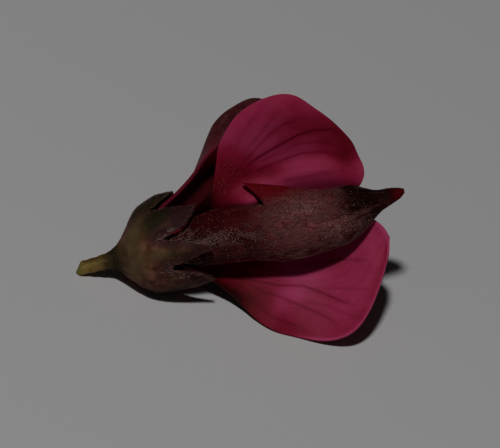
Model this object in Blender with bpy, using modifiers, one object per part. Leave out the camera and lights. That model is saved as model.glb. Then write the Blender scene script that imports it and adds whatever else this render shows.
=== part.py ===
"""Indigofera flower, picked and lying on its side.

Every piece is shaped in the flower's own directions, in millimetres: x runs from the base of the calyx to
the tip of the keel, y runs sideways to the wing that stands up, and z runs to the side where the keel's seam
is. One empty then lays the whole flower on the surface.
"""

import math

import bmesh
import bpy
from mathutils import Euler, Vector

MM = 0.001

# How the flower lies: its length rises, and the keel's seam looks forward and a little up.
AXIS_RISE_DEG = 24.1
SEAM_RISE_DEG = 25.5
CALYX_BASE_AT = (-4.364, -0.569, 0.86)
GROUND_CUT_DEPTH = 3.0
GROUND_CUT_SIDE = 40.0

# Walls and gaps
BLADE_THICK = 0.6
CLAW_THICK = 0.4
CALYX_WALL = 0.4
SHEATH_WALL = 0.14

# Stalk: its cut end, and where it meets the calyx
PEDICEL_END = (-1.20, -0.12, -0.22)
PEDICEL_RADIUS = 0.26
PEDICEL_NECK_RADIUS = 0.33
PEDICEL_TOP = -0.16

# Calyx: radius along the cup, sideways bend, and for each tooth its direction, half widths and tip
CALYX_PROFILE = (
    (0.0, 0.34, 0.00),
    (0.3, 0.58, -0.06),
    (0.6, 0.92, -0.08),
    (0.9, 1.26, -0.03),
    (1.2, 1.49, 0.02),
    (1.7, 1.62, 0.04),
    (2.3, 1.66, 0.04),
    (3.0, 1.64, 0.02),
    (3.9, 1.62, 0.00),
)
CALYX_FLARE = 0.26
CALYX_FLARE_DIRECTION_DEG = 140.0
CALYX_SINUS = 1.65
CALYX_TEETH = (
    (3.0, 26.0, 27.0, 3.62),
    (62.0, 41.0, 32.0, 3.30),
    (-62.0, 34.0, 46.0, 3.90),
    (140.0, 44.0, 43.0, 2.75),
    (-139.0, 45.0, 44.0, 2.75),
)

# Wings: share of the length, then the inner margin and the outer margin at that place
WING_UPPER = (
    (0.00, 1.45, 0.60, -0.24, 1.45, 0.62, 0.24),
    (0.12, 2.30, 0.60, -0.26, 2.20, 0.66, 0.26),
    (0.22, 3.25, 0.80, -0.36, 3.15, 1.05, 0.26),
    (0.30, 4.05, 0.90, -0.42, 4.00, 1.70, 0.20),
    (0.38, 4.85, 0.84, -0.45, 4.38, 2.59, 0.05),
    (0.46, 5.60, 0.88, -0.45, 4.67, 3.28, -0.05),
    (0.54, 6.20, 0.84, -0.45, 5.30, 4.03, 0.00),
    (0.62, 6.80, 0.76, -0.45, 6.05, 4.46, 0.05),
    (0.70, 7.40, 0.74, -0.45, 6.98, 4.62, 0.10),
    (0.78, 7.92, 0.76, -0.44, 7.72, 4.44, 0.10),
    (0.85, 8.32, 0.78, -0.42, 8.30, 3.80, 0.05),
    (0.91, 8.66, 0.78, -0.40, 8.82, 3.05, 0.00),
    (0.96, 8.94, 0.76, -0.38, 9.20, 2.28, -0.05),
    (1.00, 9.14, 0.74, -0.36, 9.40, 1.60, -0.10),
)
WING_LOWER = (
    (0.00, 1.45, -0.60, -0.24, 1.45, -0.62, 0.24),
    (0.12, 2.30, -0.56, -0.26, 2.20, -0.60, 0.26),
    (0.22, 3.25, -0.78, -0.36, 3.10, -0.82, 0.26),
    (0.30, 4.05, -1.15, -0.42, 3.88, -1.77, 0.05),
    (0.38, 4.85, -1.25, -0.45, 4.25, -2.45, 0.15),
    (0.46, 5.60, -1.33, -0.45, 4.55, -3.25, 0.40),
    (0.54, 6.20, -1.38, -0.45, 5.10, -3.75, 0.72),
    (0.62, 6.80, -1.42, -0.45, 5.90, -4.20, 0.72),
    (0.70, 7.40, -1.44, -0.45, 6.90, -4.55, 0.80),
    (0.78, 8.00, -1.42, -0.42, 7.80, -4.47, 0.80),
    (0.85, 8.50, -1.38, -0.36, 8.50, -3.95, 0.68),
    (0.91, 8.90, -1.32, -0.28, 9.15, -3.10, 0.50),
    (0.96, 9.20, -1.26, -0.18, 9.60, -2.30, 0.32),
    (1.00, 9.42, -1.20, -0.08, 9.80, -1.60, 0.16),
)
WING_BELLY = 0.16
WING_CLAW_SHARE = 0.24

# Banner: its margins, its midrib and the shoulder where it folds up, each from claw to tip
BANNER_LOWER_MARGIN = (
    (0.00, 1.45, -0.42, -0.46),
    (0.12, 1.95, -0.54, -0.44),
    (0.22, 2.50, -0.56, -0.40),
    (0.27, 2.90, -0.78, -0.42),
    (0.33, 3.30, -1.46, -0.72),
    (0.40, 3.90, -1.88, -1.00),
    (0.56, 5.30, -2.46, -1.88),
    (0.74, 6.90, -3.08, -2.52),
    (0.84, 7.75, -2.95, -2.92),
    (0.93, 8.40, -2.15, -3.16),
    (1.00, 8.72, -1.15, -3.20),
)
BANNER_MIDRIB = (
    (0.00, 1.45, 0.0, -0.58),
    (0.12, 2.00, 0.0, -0.63),
    (0.22, 2.60, 0.0, -0.74),
    (0.33, 3.45, 0.0, -1.05),
    (0.48, 4.80, 0.0, -1.52),
    (0.64, 6.20, 0.0, -2.10),
    (0.84, 8.00, 0.0, -2.77),
    (1.00, 9.00, 0.0, -3.14),
)
BANNER_SHOULDER = (
    (0.00, 1.45, 0.28, -0.55),
    (0.12, 1.95, 0.45, -0.60),
    (0.22, 2.55, 0.78, -0.56),
    (0.27, 2.90, 0.95, -0.58),
    (0.33, 3.30, 1.38, -0.85),
    (0.40, 3.90, 2.00, -1.20),
    (0.48, 4.35, 2.64, -1.38),
    (0.56, 4.75, 3.03, -1.50),
    (0.64, 5.40, 3.34, -1.60),
    (0.74, 6.40, 3.38, -1.85),
    (0.84, 7.40, 2.65, -2.30),
    (0.93, 8.30, 1.60, -2.78),
    (1.00, 8.90, 0.60, -3.05),
)
BANNER_UPPER_MARGIN = (
    (0.00, 1.45, 0.44, -0.48),
    (0.12, 1.95, 0.64, -0.46),
    (0.22, 2.50, 1.12, -0.42),
    (0.27, 2.90, 1.34, -0.36),
    (0.33, 3.35, 1.74, -0.50),
    (0.40, 3.98, 2.24, -0.76),
    (0.48, 4.45, 2.52, -1.14),
    (0.56, 4.95, 2.84, -1.24),
    (0.64, 5.50, 3.10, -1.24),
    (0.74, 6.60, 3.25, -1.35),
    (0.84, 7.50, 2.80, -2.00),
    (0.93, 8.35, 1.85, -2.58),
    (1.00, 8.80, 0.95, -2.95),
)
BANNER_SHOULDER_ACROSS = 0.62
BANNER_CLAW_SHARE = 0.24

# Keel: place along the flower, sideways bend, half width, seam side, widest level, back side
KEEL = (
    (1.50, 0.00, 0.42, 1.00, 0.82, 0.64),
    (2.40, 0.00, 0.52, 1.06, 0.84, 0.64),
    (2.80, 0.00, 0.70, 1.07, 0.70, 0.40),
    (3.20, 0.02, 0.88, 1.08, 0.40, -0.12),
    (3.70, 0.00, 0.97, 1.10, 0.26, -0.42),
    (4.70, -0.10, 1.00, 1.16, 0.25, -0.66),
    (5.70, -0.25, 1.06, 1.20, 0.25, -0.80),
    (6.80, -0.30, 1.14, 1.20, 0.25, -0.88),
    (7.60, -0.33, 1.08, 1.14, 0.22, -0.88),
    (8.40, -0.32, 1.00, 1.00, 0.16, -0.82),
    (9.10, -0.28, 0.82, 0.70, 0.04, -0.72),
    (9.60, -0.18, 0.56, 0.42, -0.06, -0.58),
    (10.15, -0.12, 0.34, 0.18, -0.10, -0.40),
    (10.55, -0.05, 0.22, 0.02, -0.12, -0.28),
    (10.80, 0.00, 0.08, -0.06, -0.11, -0.16),
)
KEEL_BACK_NARROWING = 1.5
SPUR_START = 5.70
SPUR_PEAK = 6.00
SPUR_END = 8.1
SPUR_UPPER_OUT = 0.95
SPUR_LOWER_OUT = 0.16
SPUR_SWEEP = 0.72
SPUR_DIRECTION_DEG = 96.0
SPUR_SPREAD_DEG = 30.0

# Inside of the keel: place along the flower, bend towards the seam, radius
CHANNEL = (
    (2.3, 0.00, 0.52),
    (4.7, 0.06, 0.56),
    (7.0, 0.14, 0.58),
    (8.4, 0.06, 0.50),
    (9.1, -0.05, 0.36),
    (9.7, -0.10, 0.22),
)
SLIT_WIDE = 0.16
SLIT_FROM, SLIT_TO = 2.6, 9.3

# Stamens and pistil, on the channel's middle line
COLUMN_START = 0.85
SHEATH_END = 8.2
SHEATH_RADIUS = 0.34
SHEATH_OPEN_DEG = 84.0
ANTHER_COUNT = 9
ANTHER_RADIUS = 0.095
FREE_STAMEN_RADIUS = 0.08
FREE_STAMEN_END = 8.3
PISTIL_RADIUS = 0.14
STYLE_RADIUS = 0.08
STYLE_START = 6.2
PISTIL_END = 8.9

# How finely the solids are divided
CALYX_SIDES, CALYX_RINGS = 45, 11
WING_ROWS, WING_COLUMNS = 26, 9
BANNER_ROWS, BANNER_COLUMNS = 24, 12
KEEL_SIDES, KEEL_RINGS = 28, 31
CHANNEL_SIDES, CHANNEL_RINGS = 16, 14
SHEATH_ROWS, SHEATH_COLUMNS = 16, 12


def smooth(stations, at):
    """The values at a place between stations, on a curve that passes through every station."""
    at = min(max(at, stations[0][0]), stations[-1][0])
    last = len(stations) - 1
    k = 0
    while k < last - 1 and stations[k + 1][0] < at:
        k += 1

    def slope(i, j):
        low, high = max(i - 1, 0), min(i + 1, last)
        return (stations[high][j] - stations[low][j]) / (stations[high][0] - stations[low][0])

    span = stations[k + 1][0] - stations[k][0]
    f = (at - stations[k][0]) / span
    values = []
    for j in range(1, len(stations[0])):
        a, b = stations[k][j], stations[k + 1][j]
        pull_a, pull_b = slope(k, j) * span, slope(k + 1, j) * span
        values.append(
            a * (1 + 2 * f) * (1 - f) ** 2
            + pull_a * f * (1 - f) ** 2
            + b * f * f * (3 - 2 * f)
            + pull_b * f * f * (f - 1)
        )
    return values


def clear_scene():
    for obj in list(bpy.data.objects):
        bpy.data.objects.remove(obj, do_unlink=True)


def new_collection(name):
    collection = bpy.data.collections.new(name)
    bpy.context.scene.collection.children.link(collection)
    return collection


def material(name, colour, roughness, metallic=0.0):
    made = bpy.data.materials.new(name)
    made.use_nodes = True
    shader = made.node_tree.nodes["Principled BSDF"]
    shader.inputs["Base Color"].default_value = (*colour, 1.0)
    shader.inputs["Roughness"].default_value = roughness
    shader.inputs["Metallic"].default_value = metallic
    return made


def lay_down(collection):
    """The empty that turns the flower's own directions into the part's, with +Z up."""
    pose = bpy.data.objects.new("flower_as_it_lies", None)
    collection.objects.link(pose)
    pose.rotation_euler = Euler(
        (math.radians(90 - SEAM_RISE_DEG), math.radians(-AXIS_RISE_DEG), 0.0), "XYZ"
    )
    pose.location = Vector(CALYX_BASE_AT) * MM
    return pose


def add_object(name, shape, collection, pose, finish=None, thickness=None):
    """Turns a bmesh in millimetres into a named object in metres, lying with the rest of the flower."""
    bmesh.ops.scale(shape, vec=(MM, MM, MM), verts=shape.verts)
    mesh = bpy.data.meshes.new(name)
    shape.to_mesh(mesh)
    shape.free()
    mesh.shade_smooth()
    obj = bpy.data.objects.new(name, mesh)
    collection.objects.link(obj)
    obj.parent = pose
    if finish:
        mesh.materials.append(finish)
    if thickness:
        group = obj.vertex_groups.new(name="thickness")
        for index, share in enumerate(thickness):
            group.add([index], share, "REPLACE")
    return obj


def solidify(obj, thick, even=False):
    wall = obj.modifiers.new("wall", "SOLIDIFY")
    wall.thickness = thick * MM
    wall.offset = -1.0
    wall.use_even_offset = even
    if obj.vertex_groups:
        wall.vertex_group = obj.vertex_groups[0].name
    return wall


def cut_with(obj, cutter, solver="EXACT"):
    cut = obj.modifiers.new("cut_" + cutter.name, "BOOLEAN")
    cut.operation = "DIFFERENCE"
    cut.solver = solver
    cut.object = cutter
    return cut


def petal_sheet(rows, columns, place, claw_share, facing_back=False):
    """A grid bent into a petal: place(s, t) gives the point at share s of the length and t across."""
    shape = bmesh.new()
    bmesh.ops.create_grid(shape, x_segments=rows, y_segments=columns, size=1.0)
    thickness = []
    for vert in shape.verts:
        s = (vert.co.x + 1.0) / 2.0
        grown = min(max((s - claw_share) / 0.14, 0.0), 1.0)
        thickness.append((CLAW_THICK + (BLADE_THICK - CLAW_THICK) * grown) / BLADE_THICK)
        vert.co = place(s, vert.co.y)
    if facing_back:
        bmesh.ops.reverse_faces(shape, faces=shape.faces)
    bmesh.ops.triangulate(shape, faces=shape.faces)
    return shape, thickness


def sleeve(sides, rings, place, closed):
    """A cylinder bent into a tube: place(s, angle) gives the point at share s of the length."""
    shape = bmesh.new()
    bmesh.ops.create_cone(
        shape, segments=sides, radius1=1.0, radius2=1.0, depth=2.0, cap_ends=closed, cap_tris=False
    )
    lengthwise = [e for e in shape.edges if abs(e.verts[0].co.z - e.verts[1].co.z) > 1.0]
    bmesh.ops.subdivide_edges(shape, edges=lengthwise, cuts=rings - 1, use_grid_fill=True)
    for vert in shape.verts:
        s = (vert.co.z + 1.0) / 2.0
        angle = math.atan2(vert.co.y, vert.co.x)
        vert.co = place(s, angle)
    bmesh.ops.recalc_face_normals(shape, faces=shape.faces)
    bmesh.ops.triangulate(shape, faces=shape.faces)
    return shape


def calyx_rim(angle):
    """How far the cup reaches in a direction, measured from the seam side: teeth with sinuses between."""
    degrees = math.degrees(angle)
    reach = CALYX_SINUS
    for middle, below, above, tip in CALYX_TEETH:
        away = (degrees - middle + 180.0) % 360.0 - 180.0
        share = abs(away) / (above if away > 0 else below)
        if share < 1.0:
            reach = max(reach, CALYX_SINUS + (tip - CALYX_SINUS) * (1.0 - share) ** 0.9)
    return reach + 0.06


def calyx_point(s, angle):
    cup_share = 0.6
    if s < cup_share:
        x = CALYX_SINUS * s / cup_share
    else:
        x = CALYX_SINUS + (calyx_rim(angle) - CALYX_SINUS) * (s - cup_share) / (1.0 - cup_share)
    radius, bend = smooth(CALYX_PROFILE, x)
    towards = max(math.cos(angle - math.radians(CALYX_FLARE_DIRECTION_DEG)), 0.0)
    radius += CALYX_FLARE * towards * min(x / 2.0, 1.0) ** 2
    return Vector((x, bend + radius * math.sin(angle), radius * math.cos(angle)))


def make_calyx(collection, pose):
    shape = sleeve(CALYX_SIDES, CALYX_RINGS, calyx_point, closed=False)
    floor = [e for e in shape.edges if e.is_boundary and max(v.co.x for v in e.verts) < 1e-6]
    bmesh.ops.contextual_create(shape, geom=floor)
    bmesh.ops.triangulate(shape, faces=shape.faces)
    bmesh.ops.recalc_face_normals(shape, faces=shape.faces)
    if sum(f.normal.dot(f.calc_center_median() * Vector((0, 1, 1))) for f in shape.faces) < 0:
        bmesh.ops.reverse_faces(shape, faces=shape.faces)
    finish = material("calyx_green_brown", (0.20, 0.12, 0.07), 0.6)
    obj = add_object("calyx", shape, collection, pose, finish)
    solidify(obj, CALYX_WALL)
    return obj


def make_pedicel(collection, pose):
    """The stalk is a curve with round section, a little thicker where the calyx sits on it."""
    curve = bpy.data.curves.new("pedicel", "CURVE")
    curve.dimensions = "3D"
    curve.bevel_depth = PEDICEL_RADIUS * MM
    curve.bevel_resolution = 3
    curve.use_fill_caps = True
    steps = 8
    spline = curve.splines.new("POLY")
    spline.points.add(steps)
    end = Vector(PEDICEL_END)
    top = Vector((PEDICEL_TOP, 0.0, 0.0))
    for k, point in enumerate(spline.points):
        f = k / steps
        place = end.lerp(top, f) + Vector((0.0, 0.0, 0.05 * math.sin(math.pi * f)))
        point.co = (*(place * MM), 1.0)
        point.radius = 1.0 + (PEDICEL_NECK_RADIUS / PEDICEL_RADIUS - 1.0) * f**3
    obj = bpy.data.objects.new("pedicel", curve)
    collection.objects.link(obj)
    obj.parent = pose
    curve.materials.append(material("pedicel_olive", (0.42, 0.36, 0.12), 0.55))
    return obj


def as_mesh_object(obj):
    """A curve made a mesh, with its caps welded, so that it can be cut."""
    bpy.context.view_layer.update()
    evaluated = obj.evaluated_get(bpy.context.evaluated_depsgraph_get())
    mesh = bpy.data.meshes.new_from_object(evaluated)
    shape = bmesh.new()
    shape.from_mesh(mesh)
    bmesh.ops.remove_doubles(shape, verts=shape.verts, dist=0.001 * MM)
    bmesh.ops.recalc_face_normals(shape, faces=shape.faces)
    shape.to_mesh(mesh)
    shape.free()
    name, collection = obj.name, obj.users_collection[0]
    parent, place = obj.parent, obj.matrix_world.copy()
    curve = obj.data
    bpy.data.objects.remove(obj, do_unlink=True)
    bpy.data.curves.remove(curve)
    made = bpy.data.objects.new(name, mesh)
    collection.objects.link(made)
    made.parent = parent
    made.matrix_world = place
    return made


def wing_point(stations, s, across):
    """Across runs from the margin beside the keel, 0, to the free margin, 1."""
    xi, yi, zi, xo, yo, zo = smooth(stations, s)
    inner, outer = Vector((xi, yi, zi)), Vector((xo, yo, zo))
    spread = (outer - inner).length
    belly = WING_BELLY * min(spread / 3.0, 1.0) * 4.0 * across * (1.0 - across)
    return inner.lerp(outer, across) + Vector((0.0, 0.0, belly))


def make_wing(name, stations, facing_back, collection, pose, finish):
    shape, thickness = petal_sheet(
        WING_ROWS,
        WING_COLUMNS,
        lambda s, t: wing_point(stations, s, (t + 1.0) / 2.0),
        WING_CLAW_SHARE,
        facing_back,
    )
    obj = add_object(name, shape, collection, pose, finish, thickness)
    solidify(obj, BLADE_THICK)
    return obj


def banner_point(s, t):
    """The petal's inner face: a curve across it through its margins, its midrib and its shoulder."""
    across = (
        (-1.0, *smooth(BANNER_LOWER_MARGIN, s)),
        (0.0, *smooth(BANNER_MIDRIB, s)),
        (BANNER_SHOULDER_ACROSS, *smooth(BANNER_SHOULDER, s)),
        (1.0, *smooth(BANNER_UPPER_MARGIN, s)),
    )
    return Vector(smooth(across, t))


def make_banner(collection, pose):
    shape, thickness = petal_sheet(BANNER_ROWS, BANNER_COLUMNS, banner_point, BANNER_CLAW_SHARE)
    finish = material("banner_maroon", (0.16, 0.03, 0.03), 0.6)
    obj = add_object("banner", shape, collection, pose, finish, thickness)
    solidify(obj, BLADE_THICK)
    return obj


def spur_out(x, angle):
    """How far the side lobe stands off the keel's flank. It starts steeply and dies away forwards."""
    if x < SPUR_START or x > SPUR_END:
        return 0.0
    if x < SPUR_PEAK:
        along = (x - SPUR_START) / (SPUR_PEAK - SPUR_START)
    else:
        along = 1.0 - (x - SPUR_PEAK) / (SPUR_END - SPUR_PEAK)
    off = (abs(math.degrees(angle)) - SPUR_DIRECTION_DEG) / SPUR_SPREAD_DEG
    height = SPUR_UPPER_OUT if angle > 0 else SPUR_LOWER_OUT
    return height * along * math.exp(-off * off)


def keel_point(s, angle):
    x = KEEL[0][0] + (KEEL[-1][0] - KEEL[0][0]) * s
    bend, half_width, seam, widest, back = smooth(KEEL, x)
    side, up = math.sin(angle), math.cos(angle)
    if up >= 0.0:
        y = half_width * side
        z = widest + (seam - widest) * up
    else:
        y = half_width * math.copysign(abs(side) ** KEEL_BACK_NARROWING, side)
        z = widest + (widest - back) * up
    out = spur_out(x, angle)
    y += math.copysign(out, side)
    return Vector((x - SPUR_SWEEP * out, bend + y, z))


def channel_point(s, angle):
    x = CHANNEL[0][0] + (CHANNEL[-1][0] - CHANNEL[0][0]) * s
    lift, radius = smooth(CHANNEL, x)
    bend = smooth(KEEL, x)[0]
    return Vector((x, bend + radius * math.sin(angle), lift + radius * math.cos(angle)))


def slit_point(s, angle):
    """A thin upright blade that opens the channel along the keel's back."""
    x = SLIT_FROM + (SLIT_TO - SLIT_FROM) * s
    bend = smooth(KEEL, x)[0]
    y = SLIT_WIDE * math.sin(angle)
    z = -0.8 + 0.9 * math.cos(angle)
    return Vector((x, bend + y, z))


def make_keel(collection, cutters, pose):
    finish = material("keel_maroon", (0.12, 0.03, 0.035), 0.55)
    keel = add_object("keel", sleeve(KEEL_SIDES, KEEL_RINGS, keel_point, True), collection, pose, finish)
    channel = add_object(
        "keel_channel", sleeve(CHANNEL_SIDES, CHANNEL_RINGS, channel_point, True), cutters, pose
    )
    slit = add_object("keel_slit", sleeve(12, 8, slit_point, True), cutters, pose)
    for cutter in (channel, slit):
        cut_with(keel, cutter)
    return keel


def column_line(x):
    """The middle line that the stamens and the pistil follow inside the keel."""
    lift = smooth(CHANNEL, x)[0]
    bend = smooth(KEEL, x)[0]
    return Vector((x, bend, lift))


def sheath_point(s, t):
    x = COLUMN_START + (SHEATH_END - COLUMN_START) * s
    half_turn = math.radians(180.0 - SHEATH_OPEN_DEG / 2.0)
    angle = -t * half_turn
    middle = column_line(x)
    return middle + Vector((0.0, SHEATH_RADIUS * math.sin(angle), SHEATH_RADIUS * math.cos(angle)))


def anther_ring():
    """Nine anthers round the end of the sheath, each sunk into its edge."""
    shape = bmesh.new()
    middle = column_line(SHEATH_END)
    wrap = math.radians(180.0 - SHEATH_OPEN_DEG / 2.0 - 12.0)
    for k in range(ANTHER_COUNT):
        angle = wrap * (2.0 * k / (ANTHER_COUNT - 1) - 1.0)
        bead = bmesh.ops.create_icosphere(shape, subdivisions=1, radius=ANTHER_RADIUS)
        bmesh.ops.scale(shape, vec=(1.7, 1.0, 1.0), verts=bead["verts"])
        offset = Vector((0.04, math.sin(angle) * 0.335, math.cos(angle) * 0.335))
        bmesh.ops.translate(shape, vec=middle + offset, verts=bead["verts"])
    return shape


def make_sheath(collection, cutters, pose):
    shape = bmesh.new()
    bmesh.ops.create_grid(shape, x_segments=SHEATH_ROWS, y_segments=SHEATH_COLUMNS, size=1.0)
    for vert in shape.verts:
        vert.co = sheath_point((vert.co.x + 1.0) / 2.0, vert.co.y)
    bmesh.ops.triangulate(shape, faces=shape.faces)
    finish = material("stamen_pale", (0.62, 0.45, 0.42), 0.5)
    sheath = add_object("staminal_sheath", shape, collection, pose, finish)
    wall = solidify(sheath, SHEATH_WALL)
    wall.offset = 0.0
    anthers = add_object("anther_ring", anther_ring(), cutters, pose)
    join = sheath.modifiers.new("anthers", "BOOLEAN")
    join.operation = "UNION"
    join.solver = "EXACT"
    join.use_self = True
    join.object = anthers
    return sheath


def tube_along(name, start, end, radius_at, off_seam, collection, pose, finish, steps=16):
    """A round thread that follows the column's middle line, off_seam away from it on the banner's side."""
    curve = bpy.data.curves.new(name, "CURVE")
    curve.dimensions = "3D"
    curve.bevel_depth = MM
    curve.bevel_resolution = 2
    curve.use_fill_caps = True
    spline = curve.splines.new("POLY")
    spline.points.add(steps)
    for k, point in enumerate(spline.points):
        x = start + (end - start) * k / steps
        place = column_line(x) - Vector((0.0, 0.0, off_seam))
        point.co = (*(place * MM), 1.0)
        point.radius = radius_at(x)
    obj = bpy.data.objects.new(name, curve)
    collection.objects.link(obj)
    obj.parent = pose
    curve.materials.append(finish)
    return obj


def make_free_stamen(collection, pose):
    def radius_at(x):
        anther = math.exp(-(((x - FREE_STAMEN_END + 0.12) / 0.12) ** 2))
        return FREE_STAMEN_RADIUS * (1.0 + 0.25 * anther)

    finish = material("filament_pale", (0.70, 0.52, 0.48), 0.5)
    return tube_along(
        "free_stamen", COLUMN_START, FREE_STAMEN_END, radius_at, SHEATH_RADIUS, collection, pose, finish
    )


def make_pistil(collection, pose):
    def radius_at(x):
        f = min(max((x - STYLE_START) / 0.8, 0.0), 1.0)
        return PISTIL_RADIUS + (STYLE_RADIUS - PISTIL_RADIUS) * f * f * (3 - 2 * f)

    finish = material("pistil_green", (0.30, 0.34, 0.12), 0.5)
    return tube_along("pistil", COLUMN_START, PISTIL_END, radius_at, 0.0, collection, pose, finish)


def make_ground_cutter(cutters):
    """A block under the surface: what reaches below it is pressed flat, as where a petal lies on a table."""
    shape = bmesh.new()
    bmesh.ops.create_cube(shape, size=1.0)
    size = (GROUND_CUT_SIDE * MM, GROUND_CUT_SIDE * MM, GROUND_CUT_DEPTH * MM)
    bmesh.ops.scale(shape, vec=size, verts=shape.verts)
    bmesh.ops.translate(shape, vec=(0.0, 0.0, -GROUND_CUT_DEPTH * MM / 2.0), verts=shape.verts)
    mesh = bpy.data.meshes.new("under_the_surface")
    shape.to_mesh(mesh)
    shape.free()
    obj = bpy.data.objects.new("under_the_surface", mesh)
    cutters.objects.link(obj)
    return obj


def main():
    clear_scene()
    flower = new_collection("indigofera_flower")
    cutters = new_collection("cutters")
    pose = lay_down(flower)
    pink = material("wing_pink", (0.60, 0.07, 0.20), 0.5)
    pedicel = as_mesh_object(make_pedicel(flower, pose))
    calyx = make_calyx(flower, pose)
    banner = make_banner(flower, pose)
    wing_upper = make_wing("wing_upper", WING_UPPER, False, flower, pose, pink)
    wing_lower = make_wing("wing_lower", WING_LOWER, True, flower, pose, pink)
    make_keel(flower, cutters, pose)
    make_sheath(flower, cutters, pose)
    make_free_stamen(flower, pose)
    make_pistil(flower, pose)
    surface = make_ground_cutter(cutters)
    for petal in (banner, wing_lower, pedicel, calyx, wing_upper):
        cut_with(petal, surface)
    for helper in cutters.objects:
        helper.hide_render = True
        helper.display_type = "WIRE"


main()
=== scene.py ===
# %% [markdown]
# # An indigofera flower on a sheet of paper
# This is a pea flower about 11 mm long, picked and laid on its side. Its solids come packed as a frame, and
# this notebook dresses them: thin petals with veins, a furry keel, a toothed calyx and a short stalk.
# The frame is loaded first, because each dressed piece takes the place of one of its solids.

# %% Load the frame
import math
import random

import bmesh
import bpy
from mathutils import Euler, Matrix, Vector, noise


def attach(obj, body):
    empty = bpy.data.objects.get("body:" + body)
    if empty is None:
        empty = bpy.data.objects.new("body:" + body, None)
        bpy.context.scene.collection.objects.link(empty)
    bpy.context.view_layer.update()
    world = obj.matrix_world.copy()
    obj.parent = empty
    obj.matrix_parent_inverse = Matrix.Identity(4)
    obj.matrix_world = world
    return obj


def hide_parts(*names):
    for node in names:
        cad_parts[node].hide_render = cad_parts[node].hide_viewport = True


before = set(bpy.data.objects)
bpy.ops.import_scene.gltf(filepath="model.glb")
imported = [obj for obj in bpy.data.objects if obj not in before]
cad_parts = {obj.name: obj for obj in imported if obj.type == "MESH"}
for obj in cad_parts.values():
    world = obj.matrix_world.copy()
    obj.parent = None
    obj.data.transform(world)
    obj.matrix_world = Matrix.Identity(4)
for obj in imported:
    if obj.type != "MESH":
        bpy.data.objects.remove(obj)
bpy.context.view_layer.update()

print("solids:", sorted(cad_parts))

# %% [markdown]
# ## Directions of the flower
# A botanist measures a flower along its own axis, so the pieces are shaped in millimetres in the flower's
# directions: x from the base of the calyx to the tip of the keel, y sideways to the wing that stands up, and
# z to the side of the keel's seam. They could be placed straight on the paper, but then no number would be a
# length or a width of the flower. So one matrix lays the finished shapes down as the flower lies.

# %% Lay the flower down
MM = 0.001
AXIS_RISE_DEG = 24.1
SEAM_RISE_DEG = 25.5
CALYX_BASE_AT = (-4.364, -0.569, 0.86)

turned = Euler((math.radians(90 - SEAM_RISE_DEG), math.radians(-AXIS_RISE_DEG), 0.0), "XYZ")
LAID = Matrix.Translation(Vector(CALYX_BASE_AT) * MM) @ turned.to_matrix().to_4x4() @ Matrix.Scale(MM, 4)
print("tip of the keel at", [round(c / MM, 2) for c in LAID @ Vector((10.8, 0.0, 0.0))], "mm")

# %% [markdown]
# ## A smooth curve through named stations
# Outlines are given as a few stations, and a curve that passes through every one of them fills in the rest.
# A curve object could draw it, but here its values are wanted at any place, so a short function gives them.
# It is the same curve that shapes the solids, so the petals keep their form.

# %% Curve through stations
def smooth(stations, at):
    """The values at a place between stations, on a curve that passes through every station."""
    at = min(max(at, stations[0][0]), stations[-1][0])
    last = len(stations) - 1
    k = 0
    while k < last - 1 and stations[k + 1][0] < at:
        k += 1

    def slope(i, j):
        low, high = max(i - 1, 0), min(i + 1, last)
        return (stations[high][j] - stations[low][j]) / (stations[high][0] - stations[low][0])

    span = stations[k + 1][0] - stations[k][0]
    f = (at - stations[k][0]) / span
    values = []
    for j in range(1, len(stations[0])):
        a, b = stations[k][j], stations[k + 1][j]
        pull_a, pull_b = slope(k, j) * span, slope(k + 1, j) * span
        values.append(
            a * (1 + 2 * f) * (1 - f) ** 2
            + pull_a * f * (1 - f) ** 2
            + b * f * f * (3 - 2 * f)
            + pull_b * f * f * (f - 1)
        )
    return values


def hump(distance, width):
    """One at the middle and nothing far away: a soft hill for swellings and tints."""
    return math.exp(-((distance / width) ** 2))


def step_up(value, low, high):
    f = min(max((value - low) / (high - low), 0.0), 1.0)
    return f * f * (3 - 2 * f)


def clamp(value):
    return min(max(value, 0.0), 1.0)


def distance_to_line(x, y, points):
    """Distance in the x-y plane to a line through points, and the share of the line where it is nearest."""
    nearest, along = 1e9, 0.0
    last = len(points) - 1
    for k in range(last):
        (ax, ay), (bx, by) = points[k], points[k + 1]
        dx, dy = bx - ax, by - ay
        f = min(max(((x - ax) * dx + (y - ay) * dy) / (dx * dx + dy * dy), 0.0), 1.0)
        away = math.hypot(x - ax - f * dx, y - ay - f * dy)
        if away < nearest:
            nearest, along = away, (k + f) / last
    return nearest, along


print("between 1 and 3 the curve passes", smooth(((0.0, 1.0), (1.0, 3.0)), 0.5)[0])

# %% [markdown]
# ## Colours and nodes
# Colours are written as sRGB hex values, as a painter would pick them, and one function turns them to the
# linear values that the shader wants. Nodes could be wired by hand in the editor, but written down they can be
# read and made again, so one more function adds a node with its settings and links.

# %% Colour and node helpers
def linear(hex_colour):
    channels = [int(hex_colour[i : i + 2], 16) / 255 for i in (1, 3, 5)]
    return (*[c / 12.92 if c <= 0.04045 else ((c + 0.055) / 1.055) ** 2.4 for c in channels], 1.0)


def start_material(name, roughness, specular=0.5):
    made = bpy.data.materials.new(name)
    made.use_nodes = True
    shader = made.node_tree.nodes["Principled BSDF"]
    shader.inputs["Roughness"].default_value = roughness
    shader.inputs["Specular IOR Level"].default_value = specular
    return made, shader


def add_node(made, kind, settings=None, values=None, links=None):
    """Adds one shader node: settings are its properties, values its sockets, links what comes into them."""
    node = made.node_tree.nodes.new("ShaderNode" + kind)
    for key, value in (settings or {}).items():
        setattr(node, key, value)
    for key, value in (values or {}).items():
        node.inputs[key].default_value = value
    for key, source in (links or {}).items():
        made.node_tree.links.new(source, node.inputs[key])
    return node


def plug(made, source, socket):
    made.node_tree.links.new(source, socket)


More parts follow.
